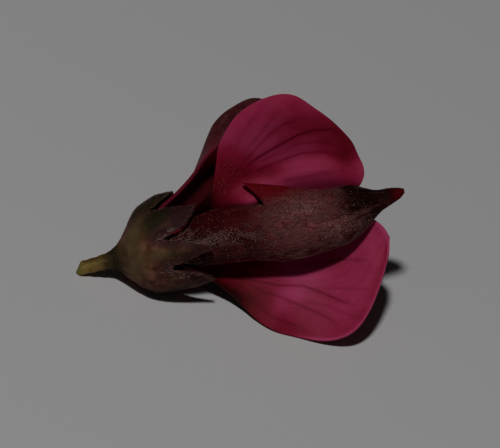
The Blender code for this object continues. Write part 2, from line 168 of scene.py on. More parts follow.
def colour_stops(node, stops):
    """Sets a colour ramp's stops from (position, hex colour) pairs."""
    ramp, stops = node.color_ramp, list(stops)
    while len(ramp.elements) < len(stops):
        ramp.elements.new(0.5)
    for element, (position, colour) in zip(ramp.elements, stops):
        element.position = position
        element.color = linear(colour)


def let_light_through(shader, weight, radius, depth_mm):
    """Subsurface scattering: how much of the light goes in, and how far each of red, green and blue gets."""
    shader.inputs["Subsurface Weight"].default_value = weight
    shader.inputs["Subsurface Radius"].default_value = radius
    shader.inputs["Subsurface Scale"].default_value = depth_mm * MM


print("mid grey #808080 is", round(linear("#808080")[0], 3), "in linear light")

# %% [markdown]
# ## From a bent grid to a piece
# A petal is a thin sheet, and it could be sculpted. Here it starts as a flat grid, and one function moves each
# of its points to its place, so the whole margin follows from a few stations. A hollow piece starts as a
# sleeve in the same way. The share of the length and the share of the width stay with the points as a UV map,
# so veins can follow the petal. Each point also keeps a few numbers, such as how deep the colour is there.

# %% Petals and sleeves
def finish_piece(name, shape, nodes, material, thickness=0.0, inner=None, smooth_faces=True):
    """Turns a bmesh in millimetres into a finished piece at the origin, laid down with the flower.

    A piece made from an open sheet gets a thickness, and its inner face may have a material of its own.
    """
    bmesh.ops.transform(shape, matrix=LAID, verts=shape.verts)
    mesh = bpy.data.meshes.new(name)
    shape.to_mesh(mesh)
    shape.free()
    if smooth_faces:
        mesh.shade_smooth()
    mesh.materials.append(material)
    piece = bpy.data.objects.new(name, mesh)
    bpy.context.scene.collection.objects.link(piece)
    if thickness:
        wall = piece.modifiers.new("blade", "SOLIDIFY")
        wall.thickness = thickness * MM
        wall.offset = -1.0
        if inner:
            mesh.materials.append(inner)
            wall.material_offset = 1
    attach(piece, "root")
    for node in nodes:
        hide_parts(node)
    print(name, "has", len(mesh.polygons), "faces")


def bent_grid(rows, columns, place, numbers=(), turn_over=False):
    """place(s, across) gives a point; numbers are (name, function) pairs kept on each point."""
    shape = bmesh.new()
    bmesh.ops.create_grid(shape, x_segments=rows, y_segments=columns, size=1.0)
    chart = shape.loops.layers.uv.new("chart")
    layers = [(shape.verts.layers.float.new(name), worth) for name, worth in numbers]
    for face in shape.faces:
        for corner in face.loops:
            corner[chart].uv = ((corner.vert.co.x + 1) / 2, (corner.vert.co.y + 1) / 2)
    for vert in shape.verts:
        s, across = (vert.co.x + 1) / 2, (vert.co.y + 1) / 2
        vert.co = place(s, across)
        for layer, worth in layers:
            vert[layer] = worth(s, across, vert.co)
    if turn_over:
        bmesh.ops.reverse_faces(shape, faces=shape.faces)
    return shape


def bent_sleeve(sides, rings, place, numbers=(), closed=True):
    """place(s, angle) gives a point, with the angle counted from the seam's side towards the upper wing."""
    shape = bmesh.new()
    bmesh.ops.create_cone(
        shape, segments=sides, radius1=1.0, radius2=1.0, depth=2.0, cap_ends=closed, cap_tris=False
    )
    lengthwise = [e for e in shape.edges if abs(e.verts[0].co.z - e.verts[1].co.z) > 1.0]
    bmesh.ops.subdivide_edges(shape, edges=lengthwise, cuts=rings - 1, use_grid_fill=True)
    chart = shape.loops.layers.uv.new("chart")
    layers = [(shape.verts.layers.float.new(name), worth) for name, worth in numbers]
    for face in shape.faces:
        middle = math.atan2(face.calc_center_median().y, face.calc_center_median().x)
        for corner in face.loops:
            angle = math.atan2(corner.vert.co.y, corner.vert.co.x)
            if angle - middle > math.pi:
                angle -= 2 * math.pi
            if middle - angle > math.pi:
                angle += 2 * math.pi
            corner[chart].uv = ((corner.vert.co.z + 1) / 2, angle / (2 * math.pi) + 0.5)
    for vert in shape.verts:
        s, angle = (vert.co.z + 1) / 2, math.atan2(vert.co.y, vert.co.x)
        vert.co = place(s, angle)
        for layer, worth in layers:
            vert[layer] = worth(s, angle, vert.co)
    bmesh.ops.recalc_face_normals(shape, faces=shape.faces)
    return shape


# %% [markdown]
# ## Camera, light and paper
# The photograph is a close-up from 35 degrees above the paper, with the camera rolled by 19 degrees. Its width
# takes in 18 mm. A long lens far away keeps the flower's proportions. The light is one soft lamp, high up on
# the camera's side and a little to the left, so that the shadows fall away and to the right. A sun lamp could
# do it, but the soft edge of a shadow is easier to match with the size of a square lamp. A wide, weak lamp and
# an even room light only keep the shadows from going black.

# %% Camera
CAMERA_RIGHT = Vector((0.9265, -0.3762, 0.0))
CAMERA_AHEAD = Vector((0.3762, 0.9265, 0.0))
CAMERA_RISE = math.radians(35.0)
CAMERA_ROLL = math.radians(19.0)
CAMERA_FAR = 0.40
FRAME_WIDTH = 0.018
FRAME_PIXELS = (500, 448)
CALYX_BASE_PIXEL = (113.0, 259.0)
SENSOR_MM = 36.0
PIXEL = FRAME_WIDTH / FRAME_PIXELS[0]

up = Vector((0.0, 0.0, math.cos(CAMERA_RISE))) + CAMERA_AHEAD * math.sin(CAMERA_RISE)
ahead = CAMERA_AHEAD * math.cos(CAMERA_RISE) - Vector((0.0, 0.0, math.sin(CAMERA_RISE)))
right_edge = CAMERA_RIGHT * math.cos(CAMERA_ROLL) + up * math.sin(CAMERA_ROLL)
top_edge = up * math.cos(CAMERA_ROLL) - CAMERA_RIGHT * math.sin(CAMERA_ROLL)
aim = LAID @ Vector((0.0, 0.0, 0.0))
aim += right_edge * (FRAME_PIXELS[0] / 2 - CALYX_BASE_PIXEL[0]) * PIXEL
aim -= top_edge * (FRAME_PIXELS[1] / 2 - CALYX_BASE_PIXEL[1]) * PIXEL

camera_data = bpy.data.cameras.new("camera")
camera_data.sensor_width = SENSOR_MM
camera_data.lens = SENSOR_MM * CAMERA_FAR / FRAME_WIDTH
camera_data.clip_start = 0.01
camera_data.clip_end = 10.0
camera = bpy.data.objects.new("camera", camera_data)
bpy.context.scene.collection.objects.link(camera)
turn = Matrix((right_edge, top_edge, -ahead)).transposed().to_4x4()
camera.matrix_world = Matrix.Translation(aim - ahead * CAMERA_FAR) @ turn
bpy.context.scene.camera = camera
print("camera at", [round(c, 4) for c in camera.location], "with a lens of", camera_data.lens, "mm")

# %% Light
LAMP_FAR = 0.30
KEY_SIZE, KEY_WATTS = 0.023, 0.335
FILL_SIZE, FILL_WATTS = 0.25, 0.010
ROOM_LIGHT = 0.012


def add_lamp(name, towards, size, power):
    """A square soft lamp that looks at the flower from a direction."""
    data = bpy.data.lights.new(name, "AREA")
    data.size = size
    data.energy = power
    lamp = bpy.data.objects.new(name, data)
    bpy.context.scene.collection.objects.link(lamp)
    lamp.location = Vector(towards).normalized() * LAMP_FAR
    lamp.rotation_euler = (-lamp.location).to_track_quat("-Z", "Y").to_euler()
    print(name, "at", [round(c, 3) for c in lamp.location])


shadow_fall = CAMERA_RIGHT * 0.17 + CAMERA_AHEAD * 0.53
add_lamp("key_lamp", Vector((0.0, 0.0, 1.0)) - shadow_fall, KEY_SIZE, KEY_WATTS)
behind_camera = -CAMERA_RIGHT * 0.6 - CAMERA_AHEAD * 0.8 + Vector((0.0, 0.0, 0.9))
add_lamp("fill_lamp", behind_camera, FILL_SIZE, FILL_WATTS)
world = bpy.data.worlds.new("room")
world.use_nodes = True
world.node_tree.nodes["Background"].inputs["Color"].default_value = linear("#ffffff")
world.node_tree.nodes["Background"].inputs["Strength"].default_value = ROOM_LIGHT
bpy.context.scene.world = world

# %% Paper
# Uncoated paper scatters light evenly and has hardly any gloss, so the eye sees a plain pale grey.
PAPER_HALF_WIDE = 0.3
paper_material, paper_shader = start_material("uncoated_paper", 0.9, 0.2)
paper_shader.inputs["Base Color"].default_value = linear("#d8d6d6")
paper_shape = bmesh.new()
bmesh.ops.create_grid(paper_shape, x_segments=1, y_segments=1, size=PAPER_HALF_WIDE)
paper_mesh = bpy.data.meshes.new("paper")
paper_shape.to_mesh(paper_mesh)
paper_shape.free()
paper_mesh.materials.append(paper_material)
paper = bpy.data.objects.new("paper", paper_mesh)
bpy.context.scene.collection.objects.link(paper)
print("paper", 2 * PAPER_HALF_WIDE, "m wide")

# %% [markdown]
# ## Petal skin
# A wing petal is a wet, coloured film of cells. Its colour comes from pigment in the cells, deeper near the
# claw and along the veins, and each bulging cell throws back a tiny highlight. So the material has three
# layers: a tint that each point of the petal carries, veins with fine fibres beside them, and a beaded bump.
# The tint also holds painted shade and painted light, where the blade turns from the lamp or towards it, and
# some of the cells' highlights are painted into the colour as dots.
# Some light goes through the blade, which subsurface scattering gives.

# %% Wing petal material
# The skin is satin, not glossy. Real cells are about 0.03 mm wide, too fine to show here, so the beads are
# drawn a little coarser.
CELL_MM = 0.05
GLINT_MM = 0.042
BLOTCH_MM = 0.45
wing_skin, skin_shader = start_material("rose_wing_petal", 0.55, 0.10)
where = add_node(wing_skin, "TexCoord")
pigment_and_shading = add_node(wing_skin, "Attribute", {"attribute_name": "pigment_and_shading"})
blotch = add_node(
    wing_skin, "TexNoise", {}, {"Scale": 1.0 / (BLOTCH_MM * MM), "Detail": 4.0, "Roughness": 0.6},
    {"Vector": where.outputs["Object"]},
)
blotch_less = add_node(
    wing_skin, "Math", {"operation": "MULTIPLY_ADD"}, {1: 0.24, 2: -0.12}, {0: blotch.outputs["Fac"]}
)
pigment_and_shading_uneven = add_node(
    wing_skin, "Math", {"operation": "ADD"}, links={0: pigment_and_shading.outputs["Fac"], 1: blotch_less.outputs[0]}
)
skin_ramp = add_node(wing_skin, "ValToRGB", links={"Fac": pigment_and_shading_uneven.outputs[0]})
colour_stops(skin_ramp, [
    (0.0, "#c8487c"), (0.25, "#b63a66"), (0.5, "#9f2247"),
    (0.75, "#7f1529"), (0.95, "#560c15"), (1.0, "#3a0a10"),
])

# Fibres run from claw to margin: a noise stretched along the petal's length.
fibre_space = add_node(
    wing_skin, "Mapping", {}, {"Scale": (1.6, 26.0, 1.0)}, {"Vector": where.outputs["UV"]}
)
fibres = add_node(
    wing_skin, "TexNoise", {"noise_dimensions": "2D"}, {"Scale": 1.0, "Detail": 3.0, "Roughness": 0.55},
    {"Vector": fibre_space.outputs["Vector"]},
)
fibre_strength = add_node(
    wing_skin, "MapRange", {}, {"From Min": 0.40, "From Max": 0.75, "To Min": 0.0, "To Max": 0.22},
    {"Value": fibres.outputs["Fac"]},
)
vein = add_node(wing_skin, "Attribute", {"attribute_name": "vein"})
skin_colour = skin_ramp.outputs["Color"]
for amount, tone in ((fibre_strength.outputs["Result"], "#c86f88"), (vein.outputs["Fac"], "#b4587a")):
    skin_colour = add_node(
        wing_skin, "Mix", {"data_type": "RGBA", "blend_type": "MULTIPLY"}, {"B": linear(tone)},
        {"Factor": amount, "A": skin_colour},
    ).outputs["Result"]

# A few plump cells near the claw shine as dots. These are painted highlights in the colour, drawn coarser than
# real cells so that they can be seen.
glint_cells = add_node(
    wing_skin, "TexVoronoi", {"feature": "F1"}, {"Scale": 1.0 / (GLINT_MM * MM)},
    {"Vector": where.outputs["Object"]},
)
glint_dot = add_node(
    wing_skin, "MapRange", {}, {"From Min": 0.1, "From Max": 0.55, "To Min": 1.0, "To Max": 0.0},
    {"Value": glint_cells.outputs["Distance"]},
)
glint_pick = add_node(
    wing_skin, "MapRange", {}, {"From Min": 0.45, "From Max": 0.95}, {"Value": glint_cells.outputs["Color"]}
)
glint_patch = add_node(
    wing_skin, "MapRange", {}, {"From Min": 0.42, "From Max": 0.62}, {"Value": blotch.outputs["Fac"]}
)
glint_zone = add_node(wing_skin, "Attribute", {"attribute_name": "painted_glint"})
glint = glint_dot.outputs["Result"]
for factor in (glint_pick.outputs["Result"], glint_patch.outputs["Result"], glint_zone.outputs["Fac"]):
    glint = add_node(wing_skin, "Math", {"operation": "MULTIPLY"}, links={0: glint, 1: factor}).outputs[0]
skin_glinting = add_node(
    wing_skin, "Mix", {"data_type": "RGBA"}, {"B": linear("#d08a80")}, {"Factor": glint, "A": skin_colour}
)
plug(wing_skin, skin_glinting.outputs["Result"], skin_shader.inputs["Base Color"])
cells = add_node(
    wing_skin, "TexVoronoi", {"feature": "F1"}, {"Scale": 1.0 / (CELL_MM * MM)},
    {"Vector": where.outputs["Object"]},
)
cell_bump = add_node(
    wing_skin, "Bump", {"invert": True}, {"Strength": 0.30, "Distance": 0.02 * MM},
    {"Height": cells.outputs["Distance"]},
)
plug(wing_skin, cell_bump.outputs["Normal"], skin_shader.inputs["Normal"])
let_light_through(skin_shader, 0.3, (1.0, 0.15, 0.25), 0.25)
print(wing_skin.name, "has", len(wing_skin.node_tree.nodes), "nodes")

# %% [markdown]
# ## Wing petals
# Each wing has a narrow claw inside the calyx and a broad blade. It could be sculpted, but here its two margins
# shape it: the one that tucks in beside the keel and the free one. So every width stays a number that can be
# measured. Waves across the blade make the furrow that catches the light, and a small pocket near the claw
# hooks over the keel's side lobe.

# %% Wing outlines
WING_UPPER = (
    (0.00, 1.45, 0.60, -0.24, 1.45, 0.62, 0.24),
    (0.12, 2.30, 0.56, -0.30, 2.20, 0.64, -0.05),
    (0.22, 3.25, 0.62, -0.42, 3.15, 1.05, -0.05),
    (0.30, 4.05, 0.62, -0.50, 4.00, 1.70, 0.10),
    (0.38, 4.85, 0.60, -0.60, 4.38, 2.59, 0.05),
    (0.46, 5.60, 0.58, -0.62, 4.67, 3.28, -0.05),
    (0.54, 6.20, 0.55, -0.62, 5.30, 4.03, 0.00),
    (0.62, 6.80, 0.52, -0.62, 6.05, 4.46, 0.05),
    (0.70, 7.40, 0.50, -0.62, 6.98, 4.62, 0.10),
    (0.78, 7.95, 0.50, -0.58, 7.69, 4.41, 0.10),
    (0.85, 8.42, 0.50, -0.52, 8.28, 3.77, 0.05),
    (0.91, 8.80, 0.50, -0.46, 8.88, 3.02, 0.00),
    (0.96, 9.06, 0.50, -0.40, 9.32, 2.24, -0.05),
    (1.00, 9.26, 0.52, -0.34, 9.48, 1.50, -0.10),
)
WING_LOWER = (
    (0.00, 1.45, -0.60, -0.24, 1.45, -0.62, 0.24),
    (0.12, 2.30, -0.56, -0.26, 2.20, -0.60, 0.26),
    (0.22, 3.25, -0.76, -0.40, 3.08, -1.26, 0.12),
    (0.30, 4.05, -0.90, -0.50, 3.74, -2.06, 0.02),
    (0.38, 4.85, -0.95, -0.60, 4.18, -2.68, 0.14),
    (0.46, 5.60, -1.00, -0.70, 4.55, -3.25, 0.40),
    (0.54, 6.20, -1.05, -0.76, 5.10, -3.75, 0.72),
    (0.62, 6.80, -1.08, -0.80, 5.90, -4.20, 0.74),
    (0.70, 7.40, -1.10, -0.80, 6.90, -4.52, 0.92),
    (0.78, 8.00, -1.08, -0.74, 7.78, -4.38, 1.14),
    (0.85, 8.50, -1.02, -0.62, 8.48, -3.84, 1.14),
    (0.91, 8.90, -0.95, -0.46, 9.13, -3.01, 0.88),
    (0.96, 9.20, -0.88, -0.28, 9.60, -2.26, 0.48),
    (1.00, 9.42, -0.80, -0.15, 9.80, -1.60, 0.20),
)
WING_BLADE = 0.09
WING_GRID = (180, 120)
UPPER_VALLEY = (
    (5.0, 1.85),
    (6.2, 1.97),
    (7.2, 2.12),
    (8.2, 2.02),
    (9.2, 1.45),
)
UPPER_WAVE = (
    (-1.7, 0.02),
    (-0.85, 0.17),
    (0.0, -0.14),
    (0.9, -0.03),
    (1.8, 0.13),
    (2.7, 0.05),
)


def wing_place(stations, s, across, belly):
    xi, yi, zi, xo, yo, zo = smooth(stations, s)
    inner, outer = Vector((xi, yi, zi)), Vector((xo, yo, zo))
    rise = belly * min((outer - inner).length / 2.0, 1.0) * 4.0 * across * (1.0 - across)
    return inner.lerp(outer, across) + Vector((0.0, 0.0, rise))


def upper_wing_place(s, across):
    point = wing_place(WING_UPPER, s, across, 0.16)
    fade = step_up(point.x, 4.6, 6.2)
    from_valley = point.y - smooth(UPPER_VALLEY, point.x)[0]
    point.z += smooth(UPPER_WAVE, from_valley)[0] * fade
    point.z += 0.62 * hump(point.x - 5.25, 0.68) * hump(point.y - 0.92, 0.46)
    point.z += 0.04 * math.sin(26.0 * s + 3.0 * across) * step_up(across, 0.7, 1.0) * fade
    point.x += 0.16 * step_up(s, 0.93, 1.0) * 4.0 * across * (1.0 - across)
    return point


def lower_wing_place(s, across):
    point = wing_place(WING_LOWER, s, across, -0.12)
    fade = step_up(point.x, 4.6, 6.0)
    point.z += 0.04 * math.sin(14.0 * s + 4.0 * across) * fade
    point.x += 0.20 * step_up(s, 0.92, 1.0) * 4.0 * across * (1.0 - across)
    return point


print("the upper wing's tip is at", [round(c, 2) for c in upper_wing_place(1.0, 0.5)], "mm")

# %% [markdown]
# ## Veins
# The veins of a wing leave the claw together and fan out to the margin. They could be painted on an image, but
# a distance to a line needs none. Each vein is a strength and a short list of places on the petal, and it fades
# at both ends. Every point of the petal keeps how much vein passes there.

# %% Vein lines
UPPER_VEINS = (
    (0.30, ((5.03, 2.67), (5.38, 3.27), (5.88, 3.84), (6.41, 4.28))),
    (0.35, ((5.14, 2.45), (5.75, 2.92), (6.23, 3.41), (6.68, 3.80), (7.19, 4.10))),
    (0.60, ((5.18, 2.29), (5.91, 2.77), (6.48, 3.20), (7.13, 3.50), (7.89, 3.55))),
    (1.00, ((5.25, 2.12), (6.02, 2.43), (6.74, 2.68), (7.41, 2.90), (8.02, 2.98), (8.63, 2.87), (9.19, 2.39))),
    (0.40, ((5.74, 2.16), (6.48, 2.36), (7.34, 2.54), (8.18, 2.49), (9.01, 2.06))),
    (0.75, ((5.57, 1.89), (6.18, 1.97), (6.83, 2.08), (7.48, 2.16), (8.27, 2.04), (9.10, 1.61))),
    (0.45, ((6.45, 1.34), (7.19, 1.31), (8.11, 1.32), (9.08, 1.16))),
)
LOWER_VEINS = (
    (0.80, ((4.24, -1.76), (4.81, -2.05), (5.66, -2.40), (6.53, -2.65), (7.71, -3.36), (8.36, -3.59))),
    (0.65, ((4.45, -2.00), (4.98, -2.43), (5.58, -2.77), (6.22, -3.23), (7.03, -3.77), (7.72, -4.35))),
    (0.45, ((4.35, -2.13), (4.65, -2.77), (5.16, -3.35), (5.91, -3.84), (6.58, -4.31))),
    (0.55, ((6.12, -1.94), (7.40, -2.02), (8.32, -2.05), (9.32, -2.22))),
    (0.35, ((7.04, -2.85), (8.05, -2.98), (8.99, -3.09))),
    (0.35, ((6.12, -3.01), (7.28, -3.48), (7.93, -3.87), (8.53, -4.01))),
)
VEIN_HALF_WIDE = 0.045
VEIN_SHADE_WIDE = 0.20


def vein_at(veins, x, y):
    dark = 0.0
    for strength, points in veins:
        away, along = distance_to_line(x, y, points)
        ends = step_up(along, 0.0, 0.15) * (1.0 - step_up(along, 0.75, 1.0))
        line = 0.65 * hump(away, VEIN_HALF_WIDE) + 0.32 * hump(away, VEIN_SHADE_WIDE)
        dark = max(dark, strength * ends * line)
    return clamp(dark)


print(len(UPPER_VEINS), "veins on the upper wing and", len(LOWER_VEINS), "on the lower")

# %% Upper wing
# Uneven places of a blade: x and y of the middle, half lengths in x and y, and how much deeper the colour is.
# On the upper wing most of these spots are painted shade and painted light: darker in the furrow and the hollow
# beyond it, lighter on the slopes that face the lamp.
UPPER_SHADE_AND_LIGHT_SPOTS = (
    (7.70, 3.40, 0.70, 0.45, 0.25),
    (6.05, 2.75, 0.55, 0.50, -0.18),
    (6.80, 2.40, 0.50, 0.30, -0.10),
    (6.20, 1.75, 0.60, 0.26, 0.30),
    (5.45, 2.00, 0.40, 0.40, 0.12),
    (8.95, 1.30, 0.42, 0.70, 0.28),
    (7.60, 4.10, 0.80, 0.30, 0.08),
)
LOWER_UNEVEN = (
    (5.00, -2.05, 0.50, 0.35, -0.28),
    (5.90, -2.85, 0.65, 0.40, -0.34),
    (6.45, -2.50, 0.50, 0.35, -0.20),
    (7.90, -2.30, 0.60, 0.50, 0.14),
    (5.20, -2.75, 0.40, 0.35, 0.15),
)


def uneven(spots, x, y):
    return sum(
        more * hump(x - at_x, far_x) * hump(y - at_y, far_y) for at_x, at_y, far_x, far_y, more in spots
    )


def upper_wing_pigment_and_shading(s, across, point):
    x, y = point.x, point.y
    depth = 0.30
    depth += 0.42 * (1.0 - step_up(math.hypot(x - 4.3, y - 1.9), 0.5, 1.9))
    # Darkest on the claw, partly its own pigment and partly painted shade where it sits in the calyx.
    depth += 0.60 * (1.0 - step_up(x, 3.5, 4.3))
    # Painted shade along the furrow that the waves make.
    depth += 0.08 * hump(y - 2.7, 0.6) * step_up(x, 4.9, 6.4)
    # Painted shade on the far end of the blade, which turns away from the lamp.
    depth += 0.33 * step_up(x, 7.6, 9.2) * step_up(y, 1.2, 1.9) * (1.0 - step_up(y, 3.2, 4.0))
    # Painted light: the free margin is drawn paler where it faces the lamp.
    painted_lit_margin = step_up(across, 0.86, 0.99) * (1.0 - step_up(x, 6.5, 8.0)) * step_up(x, 4.1, 4.7)
    depth -= 0.04 * painted_lit_margin
    depth += 0.06 * step_up(y, 3.3, 4.4)
    # Painted light on the lobe below the furrow and on the pocket, which face the lamp.
    depth -= 0.06 * hump(y - 1.5, 0.45) * step_up(x, 6.0, 7.0)
    depth -= 0.10 * hump(x - 5.25, 0.65) * hump(y - 1.15, 0.45)
    return clamp(depth + uneven(UPPER_SHADE_AND_LIGHT_SPOTS, x, y))


def upper_wing_painted_glint(s, across, point):
    near_claw = 1.0 - step_up(math.hypot(point.x - 4.5, point.y - 1.9), 0.4, 1.3)
    pocket = hump(point.x - 5.0, 0.35) * hump(point.y - 1.2, 0.35)
    return clamp(0.9 * near_claw + 1.0 * pocket)


finish_piece(
    "upper_wing_petal",
    bent_grid(
        *WING_GRID, upper_wing_place,
        [
            ("pigment_and_shading", upper_wing_pigment_and_shading),
            ("vein", lambda s, across, point: vein_at(UPPER_VEINS, point.x, point.y)),
            ("painted_glint", upper_wing_painted_glint),
        ],
    ),
    ["wing_upper"], wing_skin, WING_BLADE,
)

# %% Lower wing
def lower_wing_pigment_and_shading(s, across, point):
    x, y = point.x, point.y
    depth = 0.20
    depth += 0.60 * (1.0 - step_up(math.hypot(x - 4.2, y + 1.5), 0.6, 2.2))
    depth += 0.20 * hump(across - 1.0, 0.20) * (1.0 - step_up(x, 5.5, 7.0))
    depth += 0.18 * step_up(across, 0.70, 0.95) * step_up(x, 6.3, 7.3)
    depth += 0.08 * step_up(x, 7.8, 9.4) * step_up(y, -3.4, -2.4)
    depth += 0.20 * (1.0 - step_up(x, 6.0, 7.8)) * step_up(-y, 1.8, 3.2)
    # Painted highlight: the free margin and the tip are drawn paler, as a lit rim looks.
    painted_rim_light = max(step_up(across, 0.97, 1.0) * step_up(x, 5.6, 6.6), step_up(s, 0.975, 1.0))
    return clamp((depth + uneven(LOWER_UNEVEN, x, y)) * (1.0 - painted_rim_light))


finish_piece(
    "lower_wing_petal",
    bent_grid(
        *WING_GRID, lower_wing_place,
        [
            ("pigment_and_shading", lower_wing_pigment_and_shading),
            ("vein", lambda s, across, point: vein_at(LOWER_VEINS, point.x, point.y)),
            ("painted_glint", lambda s, across, p: 0.20 * hump(math.hypot(p.x - 4.6, p.y + 1.9), 0.7)),
        ],
        turn_over=True,
    ),
    ["wing_lower"], wing_skin, WING_BLADE,
)

# %% [markdown]
# ## Banner
# The banner is the biggest petal, and it lies behind the others. Its claw sits in the calyx, its sides fold up
# round the bases of the wings, and its blade bends back. The outer face is a dull, downy maroon and the inner
# face a smoother crimson. A flat blade could be folded by a modifier, but then its margin can't be laid where
# it is seen. A fold needs more than two margins, so a midrib and a shoulder line shape it too.

# %% Banner outline
BANNER_LOWER_MARGIN = (
    (0.00, 1.20, -0.42, -0.90),
    (0.12, 1.90, -0.62, -0.90),
    (0.22, 2.50, -0.96, -0.90),
    (0.27, 2.90, -1.20, -0.85),
    (0.33, 3.30, -1.60, -0.75),
    (0.40, 3.90, -2.25, -0.95),
    (0.48, 4.60, -2.50, -1.60),
    (0.56, 5.30, -2.50, -2.30),
    (0.74, 6.90, -3.06, -3.00),
    (0.84, 7.75, -2.95, -3.40),
    (0.93, 8.45, -2.15, -3.75),
    (1.00, 8.80, -1.00, -3.80),
)
BANNER_MIDRIB = (
    (0.00, 1.20, 0.0, -0.98),
    (0.12, 1.95, 0.0, -1.04),
    (0.22, 2.60, 0.0, -1.22),
    (0.33, 3.45, 0.0, -1.60),
    (0.48, 4.80, 0.0, -2.10),
    (0.64, 6.20, 0.0, -2.68),
    (0.84, 8.00, 0.0, -3.35),
    (1.00, 9.00, 0.0, -3.72),
)
BANNER_SHOULDER = (
    (0.00, 1.10, 0.55, -0.90),
    (0.12, 1.75, 0.90, -0.98),
    (0.22, 2.50, 1.16, -0.98),
    (0.27, 2.90, 1.30, -1.02),
    (0.33, 3.30, 1.60, -1.30),
    (0.40, 3.90, 2.40, -1.65),
    (0.48, 4.35, 3.08, -1.80),
    (0.56, 4.75, 3.52, -1.90),
    (0.64, 5.40, 3.84, -2.00),
    (0.74, 6.40, 3.90, -2.30),
    (0.84, 7.40, 3.00, -2.75),
    (0.93, 8.30, 1.80, -3.30),
    (1.00, 8.90, 0.70, -3.60),
)
BANNER_UPPER_MARGIN = (
    (0.00, 1.05, 0.90, -0.30),
    (0.12, 1.62, 1.30, -0.10),
    (0.22, 2.12, 1.55, -0.02),
    (0.27, 2.72, 1.86, -0.12),
    (0.33, 3.38, 2.26, -0.36),
    (0.40, 4.00, 2.80, -0.46),
    (0.48, 4.56, 3.13, -0.50),
    (0.56, 4.95, 3.34, -0.65),
    (0.64, 5.50, 3.66, -0.75),
    (0.74, 6.60, 3.85, -1.25),
    (0.84, 7.50, 3.35, -2.05),
    (0.93, 8.35, 2.30, -2.95),
    (1.00, 8.80, 1.20, -3.45),
)
BANNER_SHOULDER_ACROSS = 0.81
BANNER_BLADE = 0.12
BANNER_GRID = (130, 90)


def banner_place(s, across):
    rails = (
        (0.0, *smooth(BANNER_LOWER_MARGIN, s)),
        (0.5, *smooth(BANNER_MIDRIB, s)),
        (BANNER_SHOULDER_ACROSS, *smooth(BANNER_SHOULDER, s)),
        (1.0, *smooth(BANNER_UPPER_MARGIN, s)),
    )
    return Vector(smooth(rails, across))


print("the banner's tip is at", [round(c, 2) for c in banner_place(1.0, 0.5)], "mm")

# %% Banner materials and petal
BANNER_MOTTLE_MM = 0.30


def banner_material(name, tones, roughness, sheen):
    made, shader = start_material(name, roughness, 0.12)
    place = add_node(made, "TexCoord")
    mottle = add_node(
        made, "TexNoise", {}, {"Scale": 1.0 / (BANNER_MOTTLE_MM * MM), "Detail": 6.0, "Roughness": 0.65},
        {"Vector": place.outputs["Object"]},
    )
    ramp = add_node(made, "ValToRGB", links={"Fac": mottle.outputs["Fac"]})
    colour_stops(ramp, zip((0.34, 0.5, 0.66), tones))
    colour = ramp.outputs["Color"]
    # The margins get a lighter crimson, partly their own colour and partly painted light, and the fold gets
    # painted shade.
    for layer, tone in (("edge", "#761b33"), ("fold_shade", "#571820")):
        amount = add_node(made, "Attribute", {"attribute_name": layer})
        colour = add_node(
            made, "Mix", {"data_type": "RGBA"}, {"B": linear(tone)},
            {"Factor": amount.outputs["Fac"], "A": colour},
        ).outputs["Result"]
    plug(made, colour, shader.inputs["Base Color"])
    bump = add_node(
        made, "Bump", {}, {"Strength": 0.4, "Distance": 0.03 * MM}, {"Height": mottle.outputs["Fac"]}
    )
    plug(made, bump.outputs["Normal"], shader.inputs["Normal"])
    shader.inputs["Sheen Weight"].default_value = sheen
    shader.inputs["Sheen Roughness"].default_value = 0.5
    let_light_through(shader, 0.5, (1.0, 0.25, 0.25), 0.3)
    return made


# Partly the bare margin's own colour and partly painted light, most on the lower margin, which lies in a calyx
# tooth's shade.
def banner_edge_and_light_at(s, across, point):
    upper = hump(across - 1.0, 0.09) * (1.0 - step_up(point.x, 4.3, 5.0))
    return clamp(upper + hump(across, 0.05))


def banner_fold_shade_at(s, across, point):
    """Painted shade deep down in the fold, where the blade narrows to its claw."""
    inside = step_up(across, 0.45, 0.60) * (1.0 - step_up(across, 0.90, 0.95))
    return 0.95 * inside * (1.0 - step_up(point.y, 1.9, 2.4))


# The outer face is a dull maroon velvet, and the inner face is smoother and crimson, so a look into the fold
# finds a redder colour than a look at its back. The inner crimson is painted lighter than the petal's own,
# for the light that comes through the blade into the shaded fold.
banner_velvet = banner_material("velvety_banner_back", ("#45181f", "#572126", "#6c3838"), 0.7, 0.05)
banner_satin = banner_material("satin_banner_front", ("#b02c3e", "#cc3a4e", "#d85560"), 0.55, 0.0)
finish_piece(
    "banner_petal",
    bent_grid(
        *BANNER_GRID, banner_place, [("edge", banner_edge_and_light_at), ("fold_shade", banner_fold_shade_at)], turn_over=True
    ),
    ["banner"], banner_velvet, BANNER_BLADE, banner_satin,
)

# %% [markdown]
# ## Keel
# The keel is two petals grown together along one seam, a closed boat with a beak. On each flank a lobe stands
# off and points back to the calyx. A tube of rings gives the boat, and pushing its rings out and back where
# the lobe is gives the lobe without a join.

